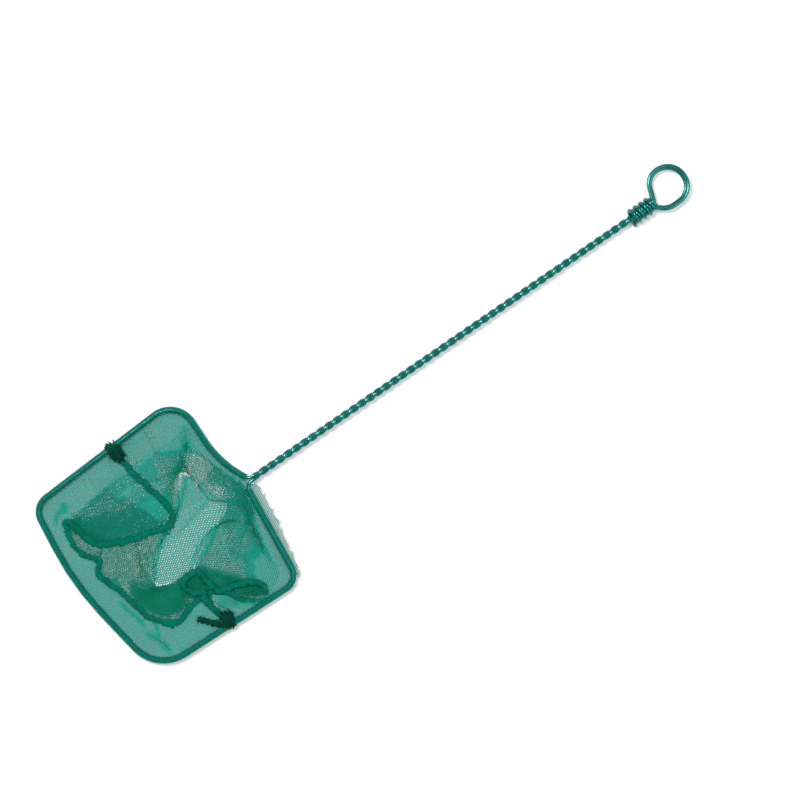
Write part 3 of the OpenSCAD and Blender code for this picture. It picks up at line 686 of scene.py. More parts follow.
    def flat_triangle(self, a: Array, b: Array, c: Array) -> tuple[list[Array], list[Array]]:
        """Lays triangles flat: their sides in the plane, and how stiffly each side holds its length."""
        size = np.maximum(np.linalg.norm(b - a, axis=-1), 1e-6)
        u = ((b - a) * (c - a)).sum(-1) / size
        v = np.sqrt(np.maximum(((c - a) ** 2).sum(-1) - u ** 2, 1e-10))
        zero = np.zeros_like(size)
        corners = [np.stack(q, -1) for q in ((zero, zero), (size, zero), (u, v))]
        sides, weights = [], []
        for i, j, o in ((0, 1, 2), (1, 2, 0), (2, 0, 1)):
            s, t = corners[i] - corners[o], corners[j] - corners[o]
            area = np.maximum(np.abs(s[..., 0] * t[..., 1] - s[..., 1] * t[..., 0]), 1e-9)
            weights.append(np.clip((s * t).sum(-1) / area, *self.stiffness)[..., None])
            sides.append(corners[j] - corners[i])
        sides[2] = -sides[2]
        return sides, weights

    def size(self) -> tuple[Array, float]:
        """Width and length of the flat cut, and its area."""
        flat = cells(self.cut)
        a, b = flat[:, 1] - flat[:, 0], flat[:, 2] - flat[:, 0]
        area = abs((a[:, 0] * b[:, 1] - a[:, 1] * b[:, 0]).sum()) / 2
        return np.ptp(self.cut.reshape(-1, 2), axis=0), float(area)


# Knitted netting
def cells(grid: Array) -> Array:
    """Splits each cell of a grid in two triangles: triangles, corners, values."""
    a, b, c, d = grid[LOW, LOW], grid[HIGH, LOW], grid[HIGH, HIGH], grid[LOW, HIGH]
    return np.concatenate([np.stack(three, 2).reshape(-1, 3, grid.shape[-1])
                           for three in ((a, b, c), (a, c, d))])


@dataclass
class Laid:
    """Netting laid in space: its joints, the cloth's two directions at each, and its threads."""

    places: Array
    across: Array
    along: Array
    good: Array
    threads: Array
    tight: Array


@dataclass
class Knit:
    """A sheet of hexagonal netting, knitted flat and then laid on a surface."""

    pitch: float
    thread_r: float
    rise: float = 0.55
    sink: float = 0.15
    joint: float = 1.15
    longest: float = 1.8
    shortest: float = 0.07
    even: tuple[float, float] = (0.85, 1.5)
    jitter: float = 0.035

    def lattice(self, low: Array, high: Array) -> tuple[Array, Array]:
        """The netting's joints and threads over a flat box.

        Args:
            low: Lowest corner of the box.
            high: Highest corner of the box.

        Returns:
            Places of the joints, and pairs of joints: first one of the lower kind, then of the upper.
            Each pair's third column is the thread's direction, as a number from 0 to 2.
        """
        edge = self.pitch / math.sqrt(3)
        cols = int((high[0] - low[0]) / self.pitch) + 3
        rows = int((high[1] - low[1]) / (1.5 * edge)) + 3
        j, i = np.meshgrid(np.arange(rows), np.arange(cols), indexing="ij")
        x = low[0] + (i + 0.5 * (j % 2)) * self.pitch
        y = low[1] + j * 1.5 * edge
        lower = np.stack([x, y], -1)
        upper = lower + [0, edge]
        count = rows * cols
        index = np.arange(count).reshape(rows, cols)
        odd = (j % 2).astype(int)
        threads = [np.stack([index.ravel(), index.ravel() + count, np.zeros(count, int)], 1)]
        # each lower joint also meets two upper joints of the row below
        for kind, side in ((1, -1), (2, 0)):
            col = i + odd + side
            row = j - 1
            ok = (row >= 0) & (col >= 0) & (col < cols)
            threads.append(np.stack([index[ok], index[row[ok], col[ok]] + count,
                                     np.full(ok.sum(), kind)], 1))
        return np.concatenate([lower.reshape(-1, 2), upper.reshape(-1, 2)]), np.concatenate(threads)

    def mesh(self, laid: Laid, girth: Array | float = 1.0) -> tuple[Array, Array, Array]:
        """Draws each thread as a three-sided bar, joined to its neighbours at the joints.

        Args:
            laid: The netting's joints and threads, laid in space.
            girth: How thick the threads are at each joint, as a share of their own thickness.

        Returns:
            Vertices, faces of four vertices, and the number of each vertex's joint.
        """
        places, across, along, good, threads = (laid.places, laid.across, laid.along, laid.good,
                                                laid.threads)
        count = len(places) // 2
        keep = good[threads[:, 0]] & good[threads[:, 1]]
        size = np.linalg.norm(places[threads[:, 0]] - places[threads[:, 1]], axis=1)
        keep &= (size < self.longest * self.pitch) & (size > self.shortest * self.pitch)
        threads, size = threads[keep], size[keep]
        # where the netting is stretched its threads are drawn wider, so that it stays as close
        ends = threads[:, :2].ravel()
        mean = np.bincount(ends, np.repeat(size, 2), len(places)) / np.maximum(
            np.bincount(ends, minlength=len(places)), 1)
        stretch = np.clip(mean * math.sqrt(3) / self.pitch, *self.even)
        normal = np.cross(across, along)
        normal /= np.maximum(np.linalg.norm(normal, axis=1, keepdims=True), 1e-9)
        side = np.cross(normal, across)
        thick = (self.thread_r * stretch * girth)[:, None]
        # the ridge of a thread is on its upper side, also where the cloth lies wrong side up
        up = normal * np.where(normal[:, 2:] < 0, -1.0, 1.0)
        verts = np.zeros((len(places), 4, 3))
        verts[:, 3] = places + up * self.rise * thick
        # lower joints have threads at 90, 210 and 330 degrees, upper ones the other way
        for k in range(3):
            angle = np.full(len(places), math.radians(150 + 120 * k))
            angle[count:] += math.pi
            verts[:, k] = (places - up * self.sink * thick
                           + self.joint * thick * (np.cos(angle)[:, None] * across
                                                   + np.sin(angle)[:, None] * side))
        base = 4 * threads[:, 0]
        far = 4 * threads[:, 1]
        kind = threads[:, 2]
        # thread 0 leaves a lower joint at 90 degrees, between corners 2 (30) and 0 (150)
        left = np.array([0, 1, 2])[kind]
        right = np.array([2, 0, 1])[kind]
        # at the upper joint the same thread comes in from the other side
        far_left, far_right = right, left
        faces = np.concatenate([
            np.stack([base + right, base + left, far + far_left, far + far_right], 1),
            np.stack([base + left, base + 3, far + 3, far + far_left], 1),
            np.stack([base + 3, base + right, far + far_right, far + 3], 1)])
        turned = np.tile(normal[threads[:, 0], 2] < 0, 3)
        faces[turned] = faces[turned, ::-1]
        used, back = np.unique(faces, return_inverse=True)
        return verts.reshape(-1, 3)[used], back.reshape(faces.shape), used // 4

    def laid_on(self, flat: Array, space: Array, seed: int) -> Laid:
        """Knits the netting over a flat cut and carries it to the cloth in space.

        Args:
            flat: Triangles of the cut: number, corner, two coordinates.
            space: The same triangles in space.
            seed: Picks the small unevenness of the joints.

        Returns:
            The netting's joints and threads in space.
        """
        places, threads = self.lattice(flat.min((0, 1)), flat.max((0, 1)))
        rng = np.random.default_rng(seed)
        at = places + rng.normal(scale=self.jitter * self.pitch, size=places.shape)
        turn = np.cross(flat[:, 1] - flat[:, 0], flat[:, 2] - flat[:, 0])
        way = 1 if turn.sum() > 0 else -1
        out, across, along = (np.zeros((len(at), 3)) for _ in range(3))
        good = np.zeros(len(at), bool)
        lows, highs = flat.min(1), flat.max(1)
        order = np.argsort(at[:, 0], kind="stable")
        sorted_x = at[order, 0]
        for k in np.nonzero(turn * way > 1e-6)[0]:
            first, last = np.searchsorted(sorted_x, (lows[k, 0], highs[k, 0]))
            near = order[first:last]
            near = near[(at[near, 1] >= lows[k, 1]) & (at[near, 1] <= highs[k, 1]) & ~good[near]]
            if not len(near):
                continue
            frame = np.column_stack([flat[k, 1] - flat[k, 0], flat[k, 2] - flat[k, 0]])
            inverse = np.linalg.inv(frame)
            share = (at[near] - flat[k, 0]) @ inverse.T
            inside = (share.min(1) >= -1e-6) & (share.sum(1) <= 1 + 1e-6)
            if not inside.any():
                continue
            near, share = near[inside], share[inside]
            sides = np.column_stack([space[k, 1] - space[k, 0], space[k, 2] - space[k, 0]])
            out[near] = space[k, 0] + share @ sides.T
            slope = sides @ inverse
            across[near] = slope[:, 0] / max(np.linalg.norm(slope[:, 0]), 1e-9)
            along[near] = slope[:, 1] / max(np.linalg.norm(slope[:, 1]), 1e-9)
            good[near] = True
        # a joint on a part that is turned over, or far from two neighbours, is placed between them
        run = np.linalg.norm(out[threads[:, 0]] - out[threads[:, 1]], axis=1)
        far = good[threads[:, 0]] & good[threads[:, 1]] & (run > self.longest * self.pitch)
        good &= np.bincount(threads[far, :2].ravel(), minlength=len(out)) < 2
        known = np.column_stack([np.ones(len(out)), out, across, along])
        total = np.zeros_like(known)
        for a, b in ((0, 1), (1, 0)):
            use = good[threads[:, b]]
            np.add.at(total, threads[use, a], known[threads[use, b]])
        mend = ~good & (total[:, 0] >= 2)
        mean = total[mend, 1:] / total[mend, :1]
        out[mend], across[mend], along[mend] = mean[:, :3], mean[:, 3:6], mean[:, 6:]
        return Laid(out, across, along, good | mend, threads, np.zeros(len(out)))

    def piece(self, name: str, flat: Array, space: Array, seed: int) -> Piece:
        """Knits a strip of netting and makes it an object.

        Args:
            name: The piece's name.
            flat: Grid of places in the cut.
            space: The same grid in space.
            seed: Picks the small unevenness of the joints.

        Returns:
            The mesh object.
        """
        verts, quads, _ = self.mesh(self.laid_on(cells(flat), cells(space), seed))
        return mesh_piece(name, verts, quads)


def mesh_piece(name: str, verts: Array, quads: Array, tris: Array | None = None) -> Piece:
    """Makes an object from vertices in the wire's frame and faces, in its place in the part's frame."""
    tris = np.zeros((0, 3), int) if tris is None else tris
    mesh = bpy.data.meshes.new(name)
    loops = np.concatenate([quads.ravel(), tris.ravel()]).astype(np.int32)
    sizes = np.concatenate([np.full(len(quads), 4), np.full(len(tris), 3)]).astype(np.int32)
    mesh.vertices.add(len(verts))
    mesh.loops.add(len(loops))
    mesh.polygons.add(len(sizes))
    mesh.vertices.foreach_set("co", ((verts + PLACE) * MM).astype(np.float32).ravel())
    mesh.loops.foreach_set("vertex_index", loops)
    mesh.polygons.foreach_set("loop_start", (np.cumsum(sizes) - sizes).astype(np.int32))
    mesh.polygons.foreach_set("loop_total", sizes)
    mesh.polygons.foreach_set("use_smooth", np.ones(len(sizes), bool))
    mesh.update(calc_edges=True)
    mesh.validate()
    piece = bpy.data.objects.new(name, mesh)
    bpy.context.scene.collection.objects.link(piece)
    return piece


def wire_piece(name: str, lines: list[Array], radius: float, fine: int = 4,
               girth: Array | None = None) -> Piece:
    """Draws round wires or threads along lines with Blender's own path curve, and makes them a mesh.

    Args:
        name: The piece's name.
        lines: Middle lines, in the wire's frame.
        radius: Radius in millimetres.
        fine: Bevel resolution: the section has 4 sides and 2 more for each step.
        girth: How thick each point of a single line is, as a share of the radius.

    Returns:
        The mesh object.
    """
    bpy.ops.object.select_all(action="DESELECT")
    bpy.ops.curve.primitive_nurbs_path_add()
    path = bpy.context.object
    path.name = name
    shape = path.data
    shape.splines.clear()
    for line in lines:
        spline = shape.splines.new("POLY")
        spline.points.add(len(line) - 1)
        places = np.column_stack([(line + PLACE) * MM, np.ones(len(line))])
        spline.points.foreach_set("co", places.ravel())
        if girth is not None:
            spline.points.foreach_set("radius", girth)
    shape.bevel_depth = radius * MM
    shape.bevel_resolution = fine
    shape.use_fill_caps = True
    bpy.ops.object.convert(target="MESH")
    bpy.ops.object.shade_smooth_by_angle(angle=math.radians(SMOOTH_ANGLE))
    piece = bpy.context.object
    piece.name = piece.data.name = name
    return piece


def dressed(piece: Piece, finish: Material, slot: str, *stands_for: str) -> Piece:
    """Gives a piece its material and its body, and hides the CAD nodes that it stands for."""
    piece.data.materials.clear()
    piece.data.materials.append(finish)
    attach(piece, BODY)
    if stands_for:
        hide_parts(*stands_for)
    LOG.info("%s: %d faces", piece.name, len(piece.data.polygons))
    return piece


def thread_piece(name: str, lines: list[Array], radius: float, fine: int, finish: Material,
                 slot: str, *stands_for: str) -> Piece:
    """Draws threads along lines and dresses them.

    Args:
        name: The piece's name.
        lines: Middle lines, in the wire's frame.
        radius: Radius in millimetres.
        fine: Bevel resolution.
        finish: The material.
        slot: Not used.
        stands_for: CAD nodes that the piece stands for.

    Returns:
        The mesh object.
    """
    return dressed(wire_piece(name, lines, radius, fine), finish, slot, *stands_for)


@dataclass(frozen=True)
class LooseEnds:
    """Short cut threads that start at points, curl, and end free."""

    length: float
    seed: int
    shortest: float = 0.35
    curl: float = 0.9
    curl_height: float = 0.4
    bow: float = 0.6
    points: int = 6

    def lines(self, starts: Array, ways: Array) -> list[Array]:
        """Draws the threads.

        Args:
            starts: Where they start.
            ways: Directions in which they set out.

        Returns:
            One line for each start.
        """
        rng = np.random.default_rng(self.seed)
        t = np.linspace(0, 1, self.points)[:, None]
        made = []
        for start, way in zip(starts, ways):
            curl = rng.normal(scale=self.curl, size=3) * [1, 1, self.curl_height]
            size = self.length * rng.uniform(self.shortest, 1)
            made.append(start + size * (t * way + t * t * curl * self.bow))
        return made


# Finishes
def set_inputs(node: Node, **values: object) -> None:
    """Sets a node's inputs by their names, with low lines for spaces."""
    for key, value in values.items():
        node.inputs[key.replace("_", " ")].default_value = value


def add(tree: Tree, kind: str, **values: object) -> Node:
    """Adds a node. Values are set on its properties, or on its inputs where their name has a capital."""
    node = tree.nodes.new(kind)
    for key, value in values.items():
        if key[0].isupper():
            set_inputs(node, **{key: value})
        else:
            setattr(node, key, value)
    return node


def join(tree: Tree, *pairs: tuple[object, object]) -> None:
    """Links each pair of an output and an input."""
    for source, target in pairs:
        tree.links.new(source, target)


def mixed(tree: Tree, factor: object, first: object, second: object) -> object:
    """Mixes two colours, given as sockets or values, and returns the result's socket."""
    node = add(tree, "ShaderNodeMix", data_type="RGBA")
    for socket, value in ((node.inputs[0], factor), (node.inputs[6], first), (node.inputs[7], second)):
        if isinstance(value, bpy.types.NodeSocket):
            tree.links.new(value, socket)
        else:
            socket.default_value = value
    return node.outputs[2]


def ramp(tree: Tree, source: object, low: float, high: float,
         to_low: float = 0.0, to_high: float = 1.0) -> object:
    """Maps a value from one range to another, held to its ends."""
    node = add(tree, "ShaderNodeMapRange", From_Min=low, From_Max=high, To_Min=to_low, To_Max=to_high)
    tree.links.new(source, node.inputs["Value"])
    return node.outputs["Result"]


def unevenness() -> Tree:
    """Shader group: slow and fine unevenness over a surface, as a mask, and a height for a bump."""
    name = "surface_unevenness"
    if name in bpy.data.node_groups:
        return bpy.data.node_groups[name]
    tree = bpy.data.node_groups.new(name, "ShaderNodeTree")
    for label, value in (("Slow Scale", 60.0), ("Fine Scale", 900.0), ("Fine Share", 0.5)):
        socket = tree.interface.new_socket(label, in_out="INPUT", socket_type="NodeSocketFloat")
        socket.default_value = value
    for label in ("Mask", "Height"):
        tree.interface.new_socket(label, in_out="OUTPUT", socket_type="NodeSocketFloat")
    into, out = add(tree, "NodeGroupInput"), add(tree, "NodeGroupOutput")
    place = add(tree, "ShaderNodeTexCoord").outputs["Object"]
    slow = add(tree, "ShaderNodeTexNoise", Detail=3.0)
    fine = add(tree, "ShaderNodeTexNoise", Detail=4.0, Roughness=0.6)
    blend = add(tree, "ShaderNodeMix")
    join(tree, (place, slow.inputs["Vector"]), (place, fine.inputs["Vector"]),
         (into.outputs["Slow Scale"], slow.inputs["Scale"]),
         (into.outputs["Fine Scale"], fine.inputs["Scale"]),
         (into.outputs["Fine Share"], blend.inputs[0]),
         (slow.outputs["Fac"], blend.inputs[2]), (fine.outputs["Fac"], blend.inputs[3]),
         (ramp(tree, blend.outputs[0], 0.3, 0.7), out.inputs["Mask"]),
         (fine.outputs["Fac"], out.inputs["Height"]))
    return tree


def blank(name: str) -> tuple[Material, Tree, Node]:
    """A new material with its node tree and its Principled shader."""
    made = bpy.data.materials.new(name)
    made.use_nodes = True
    tree = made.node_tree
    return made, tree, tree.nodes["Principled BSDF"]


def uneven_group(tree: Tree, slow: float, fine: float, share: float) -> Node:
    """Puts the unevenness in a material, with its two scales and the fine one's share."""
    return add(tree, "ShaderNodeGroup", node_tree=unevenness(), Slow_Scale=slow, Fine_Scale=fine,
               Fine_Share=share)


def coated(tree: Tree, shader: Node, colour: object, rough: object) -> None:
    """Feeds a shader's colour and its roughness."""
    join(tree, (colour, shader.inputs["Base Color"]), (rough, shader.inputs["Roughness"]))


def bumped(tree: Tree, shader: Node, height: object, strength: float, distance: float) -> None:
    """Gives a shader a bump that follows a height."""
    bump = add(tree, "ShaderNodeBump", Strength=strength, Distance=distance)
    join(tree, (height, bump.inputs["Height"]), (bump.outputs["Normal"], shader.inputs["Normal"]))


@dataclass(frozen=True)
class CoatedWire:
    """Glossy soft coating on the wire, a little uneven, with dull handled patches."""

    deep: Colour = (0.0, 0.045, 0.038)
    pale: Colour = (0.0, 0.12, 0.1)
    glint: Colour = (0.22, 1.0, 0.94)
    gleam: float = 1.68
    gloss: float = 0.1
    dull: float = 0.18
    grain: Place = (160.0, 1400.0, 0.35)
    bump: Point = (0.06, 0.0002)

    def material(self) -> Material:
        """Builds the material."""
        made, tree, shader = blank("coated_wire")
        uneven = uneven_group(tree, *self.grain)
        mask = uneven.outputs["Mask"]
        coated(tree, shader, mixed(tree, mask, (*self.deep, 1), (*self.pale, 1)),
               ramp(tree, mask, 0, 1, self.gloss, self.dull))
        bumped(tree, shader, uneven.outputs["Height"], *self.bump)
        set_inputs(shader, IOR=self.gleam, Specular_IOR_Level=1.0, Specular_Tint=(*self.glint, 1))
        return made


@dataclass(frozen=True)
class CutSteel:
    """Bare steel of the wire's core, brushed by the cutter."""

    bright: Colour = (0.55, 0.56, 0.57)
    dark: Colour = (0.3, 0.29, 0.28)
    smooth: float = 0.25
    scored: float = 0.5
    grain: Place = (900.0, 5000.0, 0.6)

    def material(self) -> Material:
        """Builds the material."""
        made, tree, shader = blank("cut_steel")
        mask = uneven_group(tree, *self.grain).outputs["Mask"]
        coated(tree, shader, mixed(tree, mask, (*self.bright, 1), (*self.dark, 1)),
               ramp(tree, mask, 0, 1, self.smooth, self.scored))
        set_inputs(shader, Metallic=1.0)
        return made


@dataclass(frozen=True)
class NylonThread:
    """Nylon thread: a soft sheen, a colour that drifts a little from strand to strand, and, where given,
    painted shade over many layers and painted light over few.
    """

    name: str
    deep: Colour
    pale: Colour
    rough: float = 0.5
    shine: float = 0.12
    packed_painted_shade: Colour | None = None
    thin_painted_light: Colour | None = None
    packed_painted_shade_at: Point = (3.0, 6.5)
    thin_painted_light_at: Point = (2.0, 0.5)
    worn: Point = (-0.08, 0.1)
    grain: Place = (220.0, 4200.0, 0.5)
    bump: Point = (0.3, 0.0001)

    def material(self) -> Material:
        """Builds the material."""
        made, tree, shader = blank(self.name)
        uneven = uneven_group(tree, *self.grain)
        mask = uneven.outputs["Mask"]
        colour = mixed(tree, mask, (*self.deep, 1), (*self.pale, 1))
        if self.packed_painted_shade:
            # painted light and shade: few layers are painted lighter, for light that comes up through them
            # from the ground, and many layers darker, for light that is lost in them
            layers = add(tree, "ShaderNodeAttribute", attribute_name="layers").outputs["Fac"]
            for ends, other in ((self.packed_painted_shade_at, self.packed_painted_shade), (self.thin_painted_light_at, self.thin_painted_light)):
                colour = mixed(tree, ramp(tree, layers, *ends), colour, (*other, 1))
        low, high = (self.rough + step for step in self.worn)
        coated(tree, shader, colour, ramp(tree, mask, 0, 1, low, high))
        bumped(tree, shader, uneven.outputs["Height"], *self.bump)
        set_inputs(shader, Specular_IOR_Level=self.shine)
        return made


class Finishes:
    """All finishes of the net, each built once."""

    def __init__(self) -> None:
        """Builds the materials."""
        self.wire = CoatedWire().material()
        self.steel = CutSteel().material()
        # the netting is painted darker where many layers stack, and lighter, as light from the ground,
        # where they are few
        self.netting = NylonThread("netting_thread", (0.006, 0.26, 0.2), (0.02, 0.34, 0.275), shine=0.06,
                                   packed_painted_shade=(0.0, 0.16, 0.085), thin_painted_light=(0.085, 0.33, 0.28)).material()
        self.hem = NylonThread("hem_netting", (0.0, 0.16, 0.115), (0.001, 0.24, 0.18),
                               shine=0.05).material()
        self.seam = NylonThread("seam_thread", (0.0, 0.1, 0.06), (0.0, 0.18, 0.12), 0.7, 0.04).material()
        self.tack = NylonThread("tack_thread", (0.0, 0.035, 0.02), (0.001, 0.08, 0.05),
                                0.65, 0.05).material()


# Sub-assemblies
@dataclass
class CoatedFrame:
    """The wire: hoop, twisted handle, hanging ring and winding."""

    form: WireForm
    finishes: Finishes
    ease: float = 6.0
    press: float = 0.16
    swell: float = 0.36

    def build(self, nodes: dict[str, Piece]) -> None:
        """Finishes the exact CAD wire and draws the two twisted wires in full.

        Args:
            nodes: The CAD nodes by name.
        """
        for name, finish in (("hoop_coating", self.finishes.wire), ("hoop_core", self.finishes.steel),
                             ("cut_end_cores", self.finishes.steel)):
            for slot in nodes[name].material_slots:
                slot.material = finish
        for side, where, ring in ((1, "upper", "outer"), (-1, "lower", "inner")):
            line = self.form.strand(side)
            line[:, 1:], girth = self.pressed(line)
            wire = wire_piece(f"coated_wire_{where}", [line], self.form.wire_r, fine=6, girth=girth)
            dressed(wire, self.finishes.wire, "wire_coating", f"handle_strand_{where}",
                    f"ring_strand_{ring}", f"winding_strand_{ring}")

    def pressed(self, line: Array) -> tuple[Array, Array]:
        """The soft coatings swell and are pressed into each other where the two wires are twisted.

        Args:
            line: Middle line of one wire, whose first part is the handle.

        Returns:
            The line's distances sideways and upwards, and how thick it is at each point.
        """
        count = self.form.handle_points
        rise = np.clip(line[:count, 0] / self.ease, 0, 1)
        fall = np.clip((self.form.handle_len - line[:count, 0]) / self.ease, 0, 1)
        share = np.zeros(len(line))
        share[:count] = np.minimum(rise, fall)
        share = eased(share)
        return line[:, 1:] * (1 - self.press * share)[:, None], 1 + self.swell * share


@dataclass
class Bag:
    """The two netting panels, folded flat in the hoop."""

    form: WireForm
    finishes: Finishes
    knits: dict[Side, Knit] = field(default_factory=lambda: {
        Side.FAR: Knit(1.3, 0.33, 0.35, 0.1), Side.NEAR: Knit(1.4, 0.36, 0.35, 0.1)})
    seed: int = 11
    count_cell: float = 1.5
    blurs: int = 2
    girths: tuple[tuple[float, ...], tuple[float, ...]] = ((2.35, 2.75, 3.4, 4.4),
                                                           (1.24, 0.45, 0.43, 0.94))
    flecks: tuple[Ripple, ...] = (Ripple(0.22, 2.6, 11),)
    stacked: float = 2.35
    # painted light of a lone layer, painted shade of pleats, and painted light and shade of the layers in a
    # stack by their height
    lone_painted_light: float = 0.9
    pleat_painted_shade: float = 6.0
    stack_z: float = -3.65
    stack_reach: float = 0.6
    stack_shade: float = 2.8
    open_x: float = -34.0
    open_fade: float = 12.0
    neck_girth: float = 0.2
    airy_route: tuple[Point, ...] = ((-17, 25), (-30, 19), (-38, 18), (-32, 10), (-25, 5))
    airy_girth: float = 0.34
    airy_reach: tuple[float, float] = (5.5, 11.0)
    panels: list[NetPanel] = field(default_factory=list)
    low: Array = field(default_factory=lambda: np.zeros(2))
    depth: Array = field(default_factory=lambda: np.zeros((1, 1)))

    def build(self) -> None:
        """Folds, unfolds and knits both panels."""
        nets = [self.netted(side) for side in Side]
        for panel, laid, depth in zip(self.panels, nets, self.layers(nets)):
            self.draw(panel, laid, depth)

    def netted(self, side: Side) -> Laid:
        """Folds a panel, finds its cut, knits it on the cut and presses the pleats into it."""
        panel = NetPanel(side, self.form)
        panel.lay()
        stretch = panel.unfold()
        if side is Side.NEAR:
            panel.cut[..., 0] *= -1
        size, area = panel.size()
        LOG.info("%s panel: cut %.0f x %.0f mm, %.0f square mm, middle stretch %.2f", side.value, *size,
                 area, stretch)
        self.panels.append(panel)
        laid = self.knits[side].laid_on(cells(panel.cut), cells(panel.cloth), self.seed)
        for pleat in PLEATS:
            laid.places, drawn = pleat.pressed(laid.places)
            laid.tight = np.maximum(laid.tight, drawn)
        return laid

    def draw(self, panel: NetPanel, laid: Laid, depth: Array) -> None:
        """Draws a panel's threads, thinner where layers are stacked, and keeps the layers, with the painted
        shade and light of pleats and stacks, as a value.

        Args:
            panel: The panel.
            laid: Its netting in space.
            depth: How many layers lie over one another at each joint.
        """
        stacked = depth > self.stacked
        hidden = np.clip((laid.places[:, 0] - self.open_x) / self.open_fade, 0, 1)
        girth = np.interp(depth, *self.girths) + self.neck_girth * hidden * stacked
        girth += (self.airy_girth - girth) * self.airy(laid.places) * stacked
        # stitches are drawn tighter here and looser there, so that layers look flecked
        girth *= uneven(laid.places[:, :2], self.flecks)
        verts, quads, joints = self.knits[panel.side].mesh(laid, girth)
        piece = mesh_piece(f"netting_{panel.side.value}", verts, quads)
        # painted light: in a stack the layers beneath are painted lighter than the one on top, as light
        # from below, so that its threads show
        height = np.clip(laid.places[:, 2] - self.stack_z, -self.stack_reach, self.stack_reach)
        # painted shade and light: stacks are painted darker with their depth and pleats darker still; a
        # lone layer gets a value that paints it lighter, as light from the ground below
        shade = np.where(stacked, depth, self.lone_painted_light) + self.pleat_painted_shade * laid.tight
        shade = (shade + self.stack_shade * height * stacked)[joints].astype(np.float32)
        piece.data.attributes.new("layers", "FLOAT", "POINT").data.foreach_set("value", shade)
        dressed(piece, self.finishes.netting, "netting", f"net_{panel.side.value}_panel")

    def declare(self) -> None:
        """Reads each panel's size and area, and keeps nothing of them.
        """
        for panel in self.panels:
            size, area = panel.size()

    def layers(self, nets: list[Laid]) -> list[Array]:
        """Counts how many layers of netting lie over one another, and keeps the count as a map.

        Args:
            nets: The panels' netting in space.

        Returns:
            The number of layers at each joint, panel by panel.
        """
        every = np.vstack([net.places[net.good, :2] for net in nets])
        # two joints stand in each hexagon of the netting
        shares = [np.full(net.good.sum(), math.sqrt(3) / 4 * knit.pitch ** 2)
                  for net, knit in zip(nets, self.knits.values())]
        self.low = every.min(0) - 3 * self.count_cell
        shape = ((every.max(0) - self.low) / self.count_cell).astype(int) + 6
        spot = ((every - self.low) / self.count_cell).astype(int)
        count = np.zeros(shape)
        np.add.at(count, (spot[:, 0], spot[:, 1]), np.concatenate(shares))
        for _ in range(self.blurs):
            for axis in (0, 1):
                count = (np.roll(count, 1, axis) + 2 * count + np.roll(count, -1, axis)) / 4
        self.depth = count / self.count_cell ** 2
        return [self.depth_at(net.places) for net in nets]

    def airy(self, points: Array) -> Array:
        """Where the cloth lies so loose that light comes through its folds, from 0 to 1."""
        full, none = self.airy_reach
        near, away, _ = near_line(points, respaced(np.array(self.airy_route, float), 2.0), none)
        share = np.zeros(len(points))
        share[near] = np.clip((none - away) / (none - full), 0, 1)
        return share

    def depth_at(self, points: Array) -> Array:
        """Reads the map of layers at points."""
        spot = ((points[:, :2] - self.low) / self.count_cell).astype(int)
        spot = np.clip(spot, 0, np.array(self.depth.shape) - 1)
        return self.depth[spot[:, 0], spot[:, 1]].astype(np.float32)


@dataclass
class Hem:
    """Netting folded over the wire, with the thread that closes it."""

    form: WireForm
    finishes: Finishes
    turns: float = 1.9
    inner_r: float = 1.14
    outer_r: float = 1.45
    lip: float = 1.3
    first_angle: float = -20.0
    steps: int = 36
    hoop_points: int = 3201
    reach: tuple[float, float] = (0.07, 0.96)
    knit: Knit = field(default_factory=lambda: Knit(1.2, 0.17))
    seed: int = 23
    stitch_r: float = 0.17
    stitch_off: float = 1.62
    stitch_wide: float = 0.3
    stitch_high: float = 0.45
    stitch_pitch: float = 2.4
    stitch_lag: float = 0.8
    stitch_sway: Ripple = Ripple(0.12, 9, 5)

    def stretches(self) -> list[tuple[str, Array]]:
        """The three stretches of the hoop that carry a hem, with their CAD names."""
        line = self.form.hoop_line()
        upper, lower = self.form.tacks()
        dense = point_at(line, np.linspace(0, 1, self.hoop_points))
        corners = self.form.hoop_corners()
        start = corners[1] + self.reach[0] * (corners[2] - corners[1])
        stop = corners[7] + self.reach[1] * (corners[8] - corners[7])
        places = [int(np.argmin(np.linalg.norm(dense - p, axis=1))) for p in (start, upper, lower, stop)]
        names = ("near_upper", "far", "near_lower")
        return [(n, np.column_stack([dense[a:b + 1], np.zeros(b + 1 - a)]))
                for n, a, b in zip(names, places, places[1:])]

    def build(self) -> list[Piece]:
        """Knits the sleeves and sews them."""
        made = []
        for name, line in self.stretches():
            line = respaced(line, 1.0)
            length = arc_of(line)
            side, _ = frames_along(line)
            turn = np.linspace(0, 1, self.steps + 1)
            angle = math.radians(self.first_angle) + TURN * self.turns * turn
            radius = self.inner_r + (self.outer_r - self.inner_r) * turn
            wide = np.concatenate([[0], np.cumsum(TURN * self.turns / self.steps * radius[1:])])
            flat = np.stack(np.broadcast_arrays(length[:, None], wide[None]), -1)
            across = radius * np.cos(angle) * np.where(np.cos(angle) < 0, self.lip, 1)
            space = (line[:, None] + across[None, :, None] * side[:, None]
                     + (radius * np.sin(angle))[None, :, None] * UP)
            piece = self.knit.piece(f"hem_sleeve_knit_{name}", flat, space, self.seed)
            made.append(dressed(piece, self.finishes.hem, "hem_netting", f"hem_sleeve_{name}"))
            made.append(self.stitches(name, line))
        return made

    def stitches(self, name: str, line: Array) -> Piece:
        """The zigzag of sewing thread along the inner side of the hem."""
        fine = respaced(line, 0.35)
        side, _ = frames_along(fine)
        at = arc_of(fine)
        off = (self.stitch_off + self.stitch_wide * np.sin(TURN * at / self.stitch_pitch)
               + self.stitch_sway.at(fine))
        lift = self.stitch_high * np.sin(TURN * at / (self.stitch_pitch / 2) + self.stitch_lag)
        return thread_piece(f"hem_stitch_{name}", [fine + side * off[:, None] + np.outer(lift, UP)],
                            self.stitch_r, 1, self.finishes.seam, "sewing_thread", f"hem_thread_{name}")


